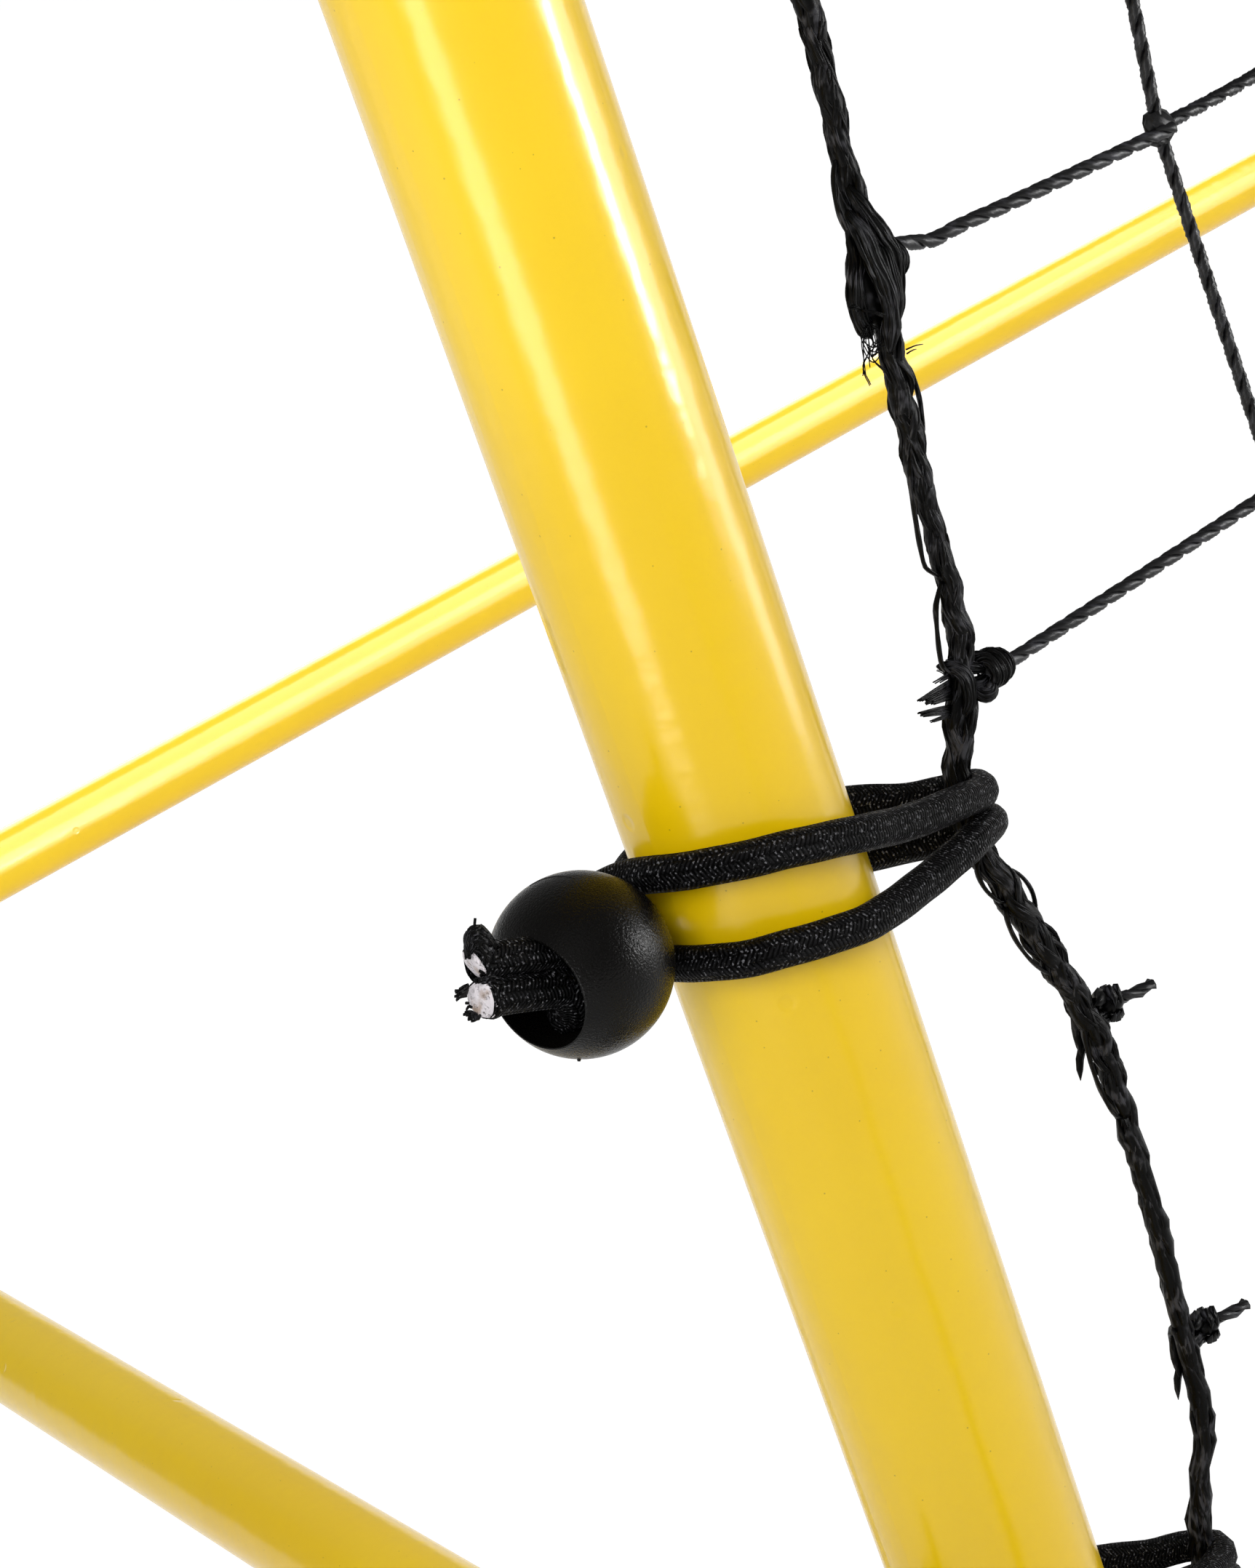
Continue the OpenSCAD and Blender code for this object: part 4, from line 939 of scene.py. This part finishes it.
# The sheath's frayed fibres, in millimetres from the bungee's own height: at the lower end as short
# stubs beside the cut (roots from and to, tips from and to, how many), at the upper end drawn up
# into a flap whose fibres run between its crest and its hem. A spike stands on the crest.
stubs = (((-52.4, -9.2, 17.2), (-53.2, -9.1, 15.9), (-54.3, -9.6, 17.6), (-54.8, -9.6, 16.4), 16),
         ((-53.2, -9.1, 14.9), (-53.1, -9.1, 14.2), (-54.2, -9.5, 15.1), (-54.1, -9.5, 14.5), 3),
         ((-53.2, -9.1, 13.6), (-52.4, -9.1, 12.6), (-54.5, -9.5, 14.1), (-53.8, -9.5, 12.8), 14),
         ((-48.2, -9.9, 15.6), (-49.8, -9.9, 16.6), (-50.2, -10.2, 17.2), (-51.8, -10.0, 17.4), 14),
         ((-48.6, -9.8, 16.6), (-49.4, -9.8, 17.6), (-50.6, -10.0, 18.2), (-50.0, -10.0, 16.6), 10))
flap = {"fibres": 150, "farFibres": 36,
        "crest": ((-46.1, -9.6, 19.4), (-46.8, -9.6, 20.9), (-47.3, -9.6, 22.2), (-47.7, -9.6, 23.2),
                  (-48.4, -9.6, 23.7), (-49.4, -9.6, 23.9), (-50.3, -9.6, 23.4), (-51.0, -9.6, 22.2),
                  (-51.4, -9.6, 20.6)),
        "hem": ((-48.2, -9.9, 16.2), (-48.7, -9.9, 16.9), (-49.0, -9.9, 17.9), (-49.2, -9.9, 19.1),
                (-49.5, -9.8, 20.4), (-49.9, -9.7, 21.1), (-50.4, -9.6, 21.2), (-50.9, -9.6, 20.9),
                (-51.2, -9.6, 20.4)),
        "spike": ((-48.9, -9.6, 23.4), (-48.6, -9.6, 24.2), (-48.2, -9.6, 24.9))}


def frayedSheath(surface, z, right, fine):
    lift = np.array([0, 0, z])

    def hair(points, step, thin, broad=None):
        path = smoothPath(points + lift, step)
        if broad is None:
            broad = np.sin(np.linspace(0.3, pi - 0.3, len(path)))[:, None] * 0.34 * chance.uniform(0.7, 1.3)
        tube(surface, path, leaningFrame(path, acrossNet), thin, broad, 5, right)

    share = np.linspace(0, 1, 9)
    count = flap["fibres"] if fine else flap["farFibres"]
    for k in range(count):
        down = (k + chance.uniform(0, 1)) / count
        at = np.linspace(chance.uniform(0, 0.45), chance.uniform(0.6, 1), 7)
        crest, hem = (np.stack([np.interp(at, share, column) for column in np.array(flap[line]).T], -1)
                      for line in ("crest", "hem"))
        points = between(crest, hem, down) + chance.normal(0, 0.1, (7, 3)) * [1, 2, 1]
        hair(points, 0.4 if fine else 1.2, 0.16)
    hair(np.array(flap["spike"]), 0.3, 0.16, 0.22)
    for root, rootEnd, tip, tipEnd, count in stubs:
        for place in np.linspace(0, 1, count if fine else 3):
            start = between(root, rootEnd, place) + chance.normal(0, 0.08, 3)
            end = between(tip, tipEnd, place) + chance.normal(0, 0.2, 3)
            hair(np.array([start, (start + end) / 2 + chance.normal(0, 0.12, 3), end]), 0.4, 0.14, 0.22)


# Where the cord turns back inside the ball's mouth
innerTurn = ((-42.5, -6.6, 11.4), (-40.6, -7.3, 10.4), (-38.8, -7.4, 8.6), (-37.7, -6.9, 6.4),
             (-37.6, -5.6, 4.4), (-38.4, -3.6, 3.4))


def bungeeCords(right):
    cords, loose = Surface(), Surface()
    side = sideNames[right]
    for z in bungee["heights"]:
        hero = z == bungee["heights"][1] and not right
        path = smoothPath(np.array(cordRoute) + [0, 0, z], 0.5 if hero else 2.0)
        cordTube(cords, path, right, 40 if hero else 12)
        cutEnd(cords, path[0], (-0.98, 0.03, -0.12), right, 1.02)
        cutEnd(cords, path[-1], (-0.95, -0.24, 0.2), right, 1.12)
        frayedSheath(loose, z, right, hero)
        turn = smoothPath(np.array(innerTurn) + [0, 0, z], 0.4 if hero else 1.6)
        cordTube(cords, turn, right, 32 if hero else 14)
    cords.piece(side + "_elastic_cords", "elastic_cord", [finishes["sheath"], finishes["core"]],
                [side + "_bungee_cords"])
    loose.piece(side + "_frayed_sheaths", "elastic_cord", [finishes["rope"]])


# A ball as a profile turned round its bore's axis: the outside, the mouth's rim, its wall and
# floor, and the narrower bore that the two stems leave by
def bungeeBalls(right):
    balls = Surface()
    side = sideNames[right]
    ball, mouth, bore = loop["ball"], loop["mouth"], loop["bore"]
    rim, tail = math.asin(mouth / ball), math.asin(bore / ball)
    front, back = math.cos(rim) * ball, -math.cos(tail) * ball
    floor = front - loop["mouthDepth"]
    outside = np.linspace(pi - tail - 0.03, rim + 0.035, 64)
    profile = np.vstack([
        ball * np.stack([np.cos(outside), np.sin(outside)], -1),
        [[front - 0.05, mouth + 0.12], [front - 0.35, mouth], [floor + 1.2, mouth],
         [floor + 0.3, mouth - 0.5], [floor, mouth - 1.4], [floor, bore + 0.3], [floor - 0.4, bore],
         [back + 0.5, bore], [back - 0.05, bore + 0.2]],
    ])
    axis = unit(np.array(loop["axis"]))
    away = unit(np.array([-axis[1], axis[0], 0]))
    up = np.cross(axis, away)
    gateRadius = np.array([[0.4], [0.35], [0.2]])
    for z in bungee["heights"]:
        hero = z == bungee["heights"][1] and not right
        centre = np.array(loop["centre"]) + [0, 0, z]
        turn = np.linspace(0, 2 * pi, 96 if hero else 40, endpoint=False)[:, None]
        circle = away * np.cos(turn) + up * np.sin(turn)
        points = centre + profile[:, 0, None, None] * axis + profile[:, 1, None, None] * circle
        balls.grid(atPole(points[:, ::-1], right), closed=True)
        seam = unit(smoothPath(loop["seam"], 0.04)) * ball + centre
        radial = unit(seam - centre)
        over = np.cross(unit(np.gradient(seam, axis=0)), radial)
        tube(balls, seam, (radial, over), 0.07, 0.12, 5, right, finish=1)
        gate = centre + np.array(loop["gate"]) * np.linspace(ball - 0.6, ball + 0.3, 3)[:, None]
        tube(balls, gate, leaningFrame(gate, acrossNet), gateRadius, gateRadius, 10, right)
    balls.piece(side + "_balls", "ball_plastic", [finishes["ball"], finishes["moulding"]],
                [side + "_bungee_balls"])


for right in (False, True):
    bungeeCords(right)
    bungeeBalls(right)


# Floor, light and camera

ground = {"size": 14.0, "tone": 0.95, "white": 1.1, "seen": 0.88}


# A pale floor that shows as plain white to the camera and in gloss, under a share of its own shade
def whiteFloor():
    finish = Finish("whiteFloor", Roughness=0.9)
    finish.shader.inputs["Base Color"].default_value = (*[ground["tone"]] * 3, 1)
    tree = finish.tree
    lit = finish.node("Emission", {}, (1, 1, 1, 1), ground["white"])
    ray = finish.node("LightPath", {}, out="Is Camera Ray")
    shiny = finish.node("LightPath", {}, out="Is Glossy Ray")
    seen = ray.maths("MAXIMUM", ray, shiny)
    mixed = finish.node("MixShader", {}, seen * ground["seen"], Link(finish, finish.shader.outputs[0]), lit)
    tree.links.new(mixed.socket, tree.nodes["Material Output"].inputs[0])
    mesh = bpy.data.meshes.new("floor")
    corners = [(x * ground["size"], y * ground["size"], 0) for x, y in ((-1, -1), (1, -1), (1, 1), (-1, 1))]
    mesh.from_pydata(corners, [], [(0, 1, 2, 3)])
    mesh.materials.append(finish.material)
    floor = bpy.data.objects.new("floor", mesh)
    bpy.context.scene.collection.objects.link(floor)


# Boxes round the left pole: way, distance, width, foot, head, strength. Each is three in one,
# narrower and with a higher foot in turn, so that its edges fade. The strips shine in gloss alone.
boxes = {"streak": (-154, 0.6, 0.2, 0.06, 0.42, 17.0, "gloss"),
         "rightStrip": (-21, 0.6, 0.17, 0.03, 0.42, 14.0, "gloss"),
         "leftBox": (152, 1.1, 1.1, 0.0, 1.1, 1.6, "all")}
# Lamps: place, aim, size, strength, what they shine in, with x from the left pole
barAt, middle = (0.5, 0.776, 0.02), (poleX, 0, 0.4)
lamps = {"glint": ((0.47, -0.35, 0.24), (-0.02, -0.01, 0.22), (0.07, 0.16), 54.0, "gloss"),
         "backFill": ((poleX + 0.2, 3.2, 1.3), middle, (4.5, 2.2), 1.7, "matt"),
         "rightFill": ((poleX + 2.7, -2.4, 1.3), middle, (2.6, 2.0), 2.9, "matt"),
         "topBox": ((-0.24, -0.25, 0.47), (0, 0, 0.28), (0.2, 0.2), 7.8, "matt"),
         "rightBox": ((0.4, -0.26, 0.52), (0, 0, 0.26), (0.3, 0.3), 2.6, "matt")}
# These light the rear bar alone
rearLamps = {"rearBox": ((0.5, 0.25, 0.85), barAt, (2.8, 1.6), 5.5, "gloss"),
             "frontBox": ((1.1, -0.5, 0.6), (1.0, 0.776, 0.5), (2.6, 1.16), 6.6, "gloss"),
             "behindBox": ((1.1, 2.0, 0.66), (1.0, 0.776, 0.4), (2.8, 1.2), 3.5, "gloss"),
             "floorBox": ((0.9, 0.3, 0.004), (0.9, 0.3, 1.0), (2.6, 0.7), 4.5, "gloss"),
             "frontFill": ((0.6, -0.5, 0.3), barAt, (2.4, 0.5), 3.0, "matt"),
             "rearFill": ((0.5, 0.9, 0.7), barAt, (2.4, 0.5), 2.0, "matt")}
# This one lights all but the floor, the rear bar and what stands round the left pole
wideLamps = {"broadFill": ((poleX - 1.2, -3.4, 1.8), middle, (3.6, 2.2), 2.3, "matt")}
nearby = ("floor", "rear_bar", "left_lower", "left_elastic", "left_balls", "left_rope", "left_knot_",
          "left_fray", "frayed", "net_")
studio = {"world": 0.3, "key": 0.17, "keySpread": 1.0, "keyTilt": 50, "keyTurn": -34}


def softLight(name, place, aim, size, strength, shines):
    data = bpy.data.lights.new(name, "AREA")
    data.shape, data.size, data.size_y = "RECTANGLE", size[0], size[1]
    data.energy = strength * size[0] * size[1] * pi
    light = bpy.data.objects.new(name, data)
    bpy.context.scene.collection.objects.link(light)
    place, aim = np.array(place) - [poleX, 0, 0], np.array(aim) - [poleX, 0, 0]
    back = unit(place - aim)
    across = unit(np.cross(upwards, back)) if abs(back[2]) < 0.99 else towardsNet
    rows = np.stack([across, np.cross(back, across), back, place], 1)
    light.matrix_world = Matrix([*rows.tolist(), [0, 0, 0, 1]])
    light.visible_camera = False
    light.visible_diffuse, light.visible_glossy = shines != "gloss", shines != "matt"
    return light


def linkedLights(name, lamps, things):
    lit = bpy.data.collections.new(name)
    for thing in things:
        lit.objects.link(thing)
    for lamp, settings in lamps.items():
        softLight(lamp, *settings).light_linking.receiver_collection = lit


def lights():
    world = bpy.data.worlds.new("studio")
    bpy.context.scene.world = world
    world.use_nodes = True
    tree = world.node_tree
    background = tree.nodes["Background"]
    path = tree.nodes.new("ShaderNodeLightPath")
    strength = tree.nodes.new("ShaderNodeMapRange")
    strength.inputs["To Min"].default_value, strength.inputs["To Max"].default_value = studio["world"], 1.0
    tree.links.new(path.outputs["Is Camera Ray"], strength.inputs["Value"])
    tree.links.new(strength.outputs[0], background.inputs["Strength"])
    background.inputs["Color"].default_value = (1, 1, 1, 1)
    key = bpy.data.lights.new("key", "SUN")
    key.energy, key.angle = studio["key"], studio["keySpread"]
    sun = bpy.data.objects.new("key", key)
    sun.rotation_euler = (math.radians(studio["keyTilt"]), 0, math.radians(studio["keyTurn"]))
    bpy.context.scene.collection.objects.link(sun)
    for name, (azimuth, away, width, low, high, power, shines) in boxes.items():
        turn = math.radians(azimuth)
        for share in (1.0, 0.7, 0.4):
            foot = low + (1 - share) * 0.2
            place = (away * math.cos(turn), away * math.sin(turn), (foot + high) / 2)
            softLight(name, place, (0, 0, place[2]), (width * share, high - foot), power / 3, shines)
    for name, settings in lamps.items():
        softLight(name, *settings)
    linkedLights("rearBar", rearLamps, [nodes["rear_bar_left"], nodes["rear_bar_right"]])
    linkedLights("wide", wideLamps, [thing for thing in bpy.context.scene.objects
                                     if thing.type == "MESH" and not thing.name.startswith(nearby)])


cameraAt = {"place": (-1.71103, -0.34657, 0.38697), "lens": 71.98, "azimuth": 30.303, "down": 19.986,
            "roll": 19.689}


def camera():
    data = bpy.data.cameras.new("camera")
    data.lens, data.sensor_width, data.clip_start = cameraAt["lens"], 36, 0.02
    made = bpy.data.objects.new("camera", data)
    bpy.context.scene.collection.objects.link(made)
    made.rotation_mode = "QUATERNION"
    turn = (Matrix.Rotation(-math.radians(cameraAt["azimuth"]), 4, "Z")
            @ Matrix.Rotation(math.radians(90 - cameraAt["down"]), 4, "X")
            @ Matrix.Rotation(-math.radians(cameraAt["roll"]), 4, "Z"))
    made.rotation_quaternion = turn.to_quaternion()
    made.location = cameraAt["place"]
    bpy.context.scene.camera = made


whiteFloor()
lights()
camera()
bpy.context.scene.view_settings.view_transform = "Standard"
print("stage, lights and camera set")
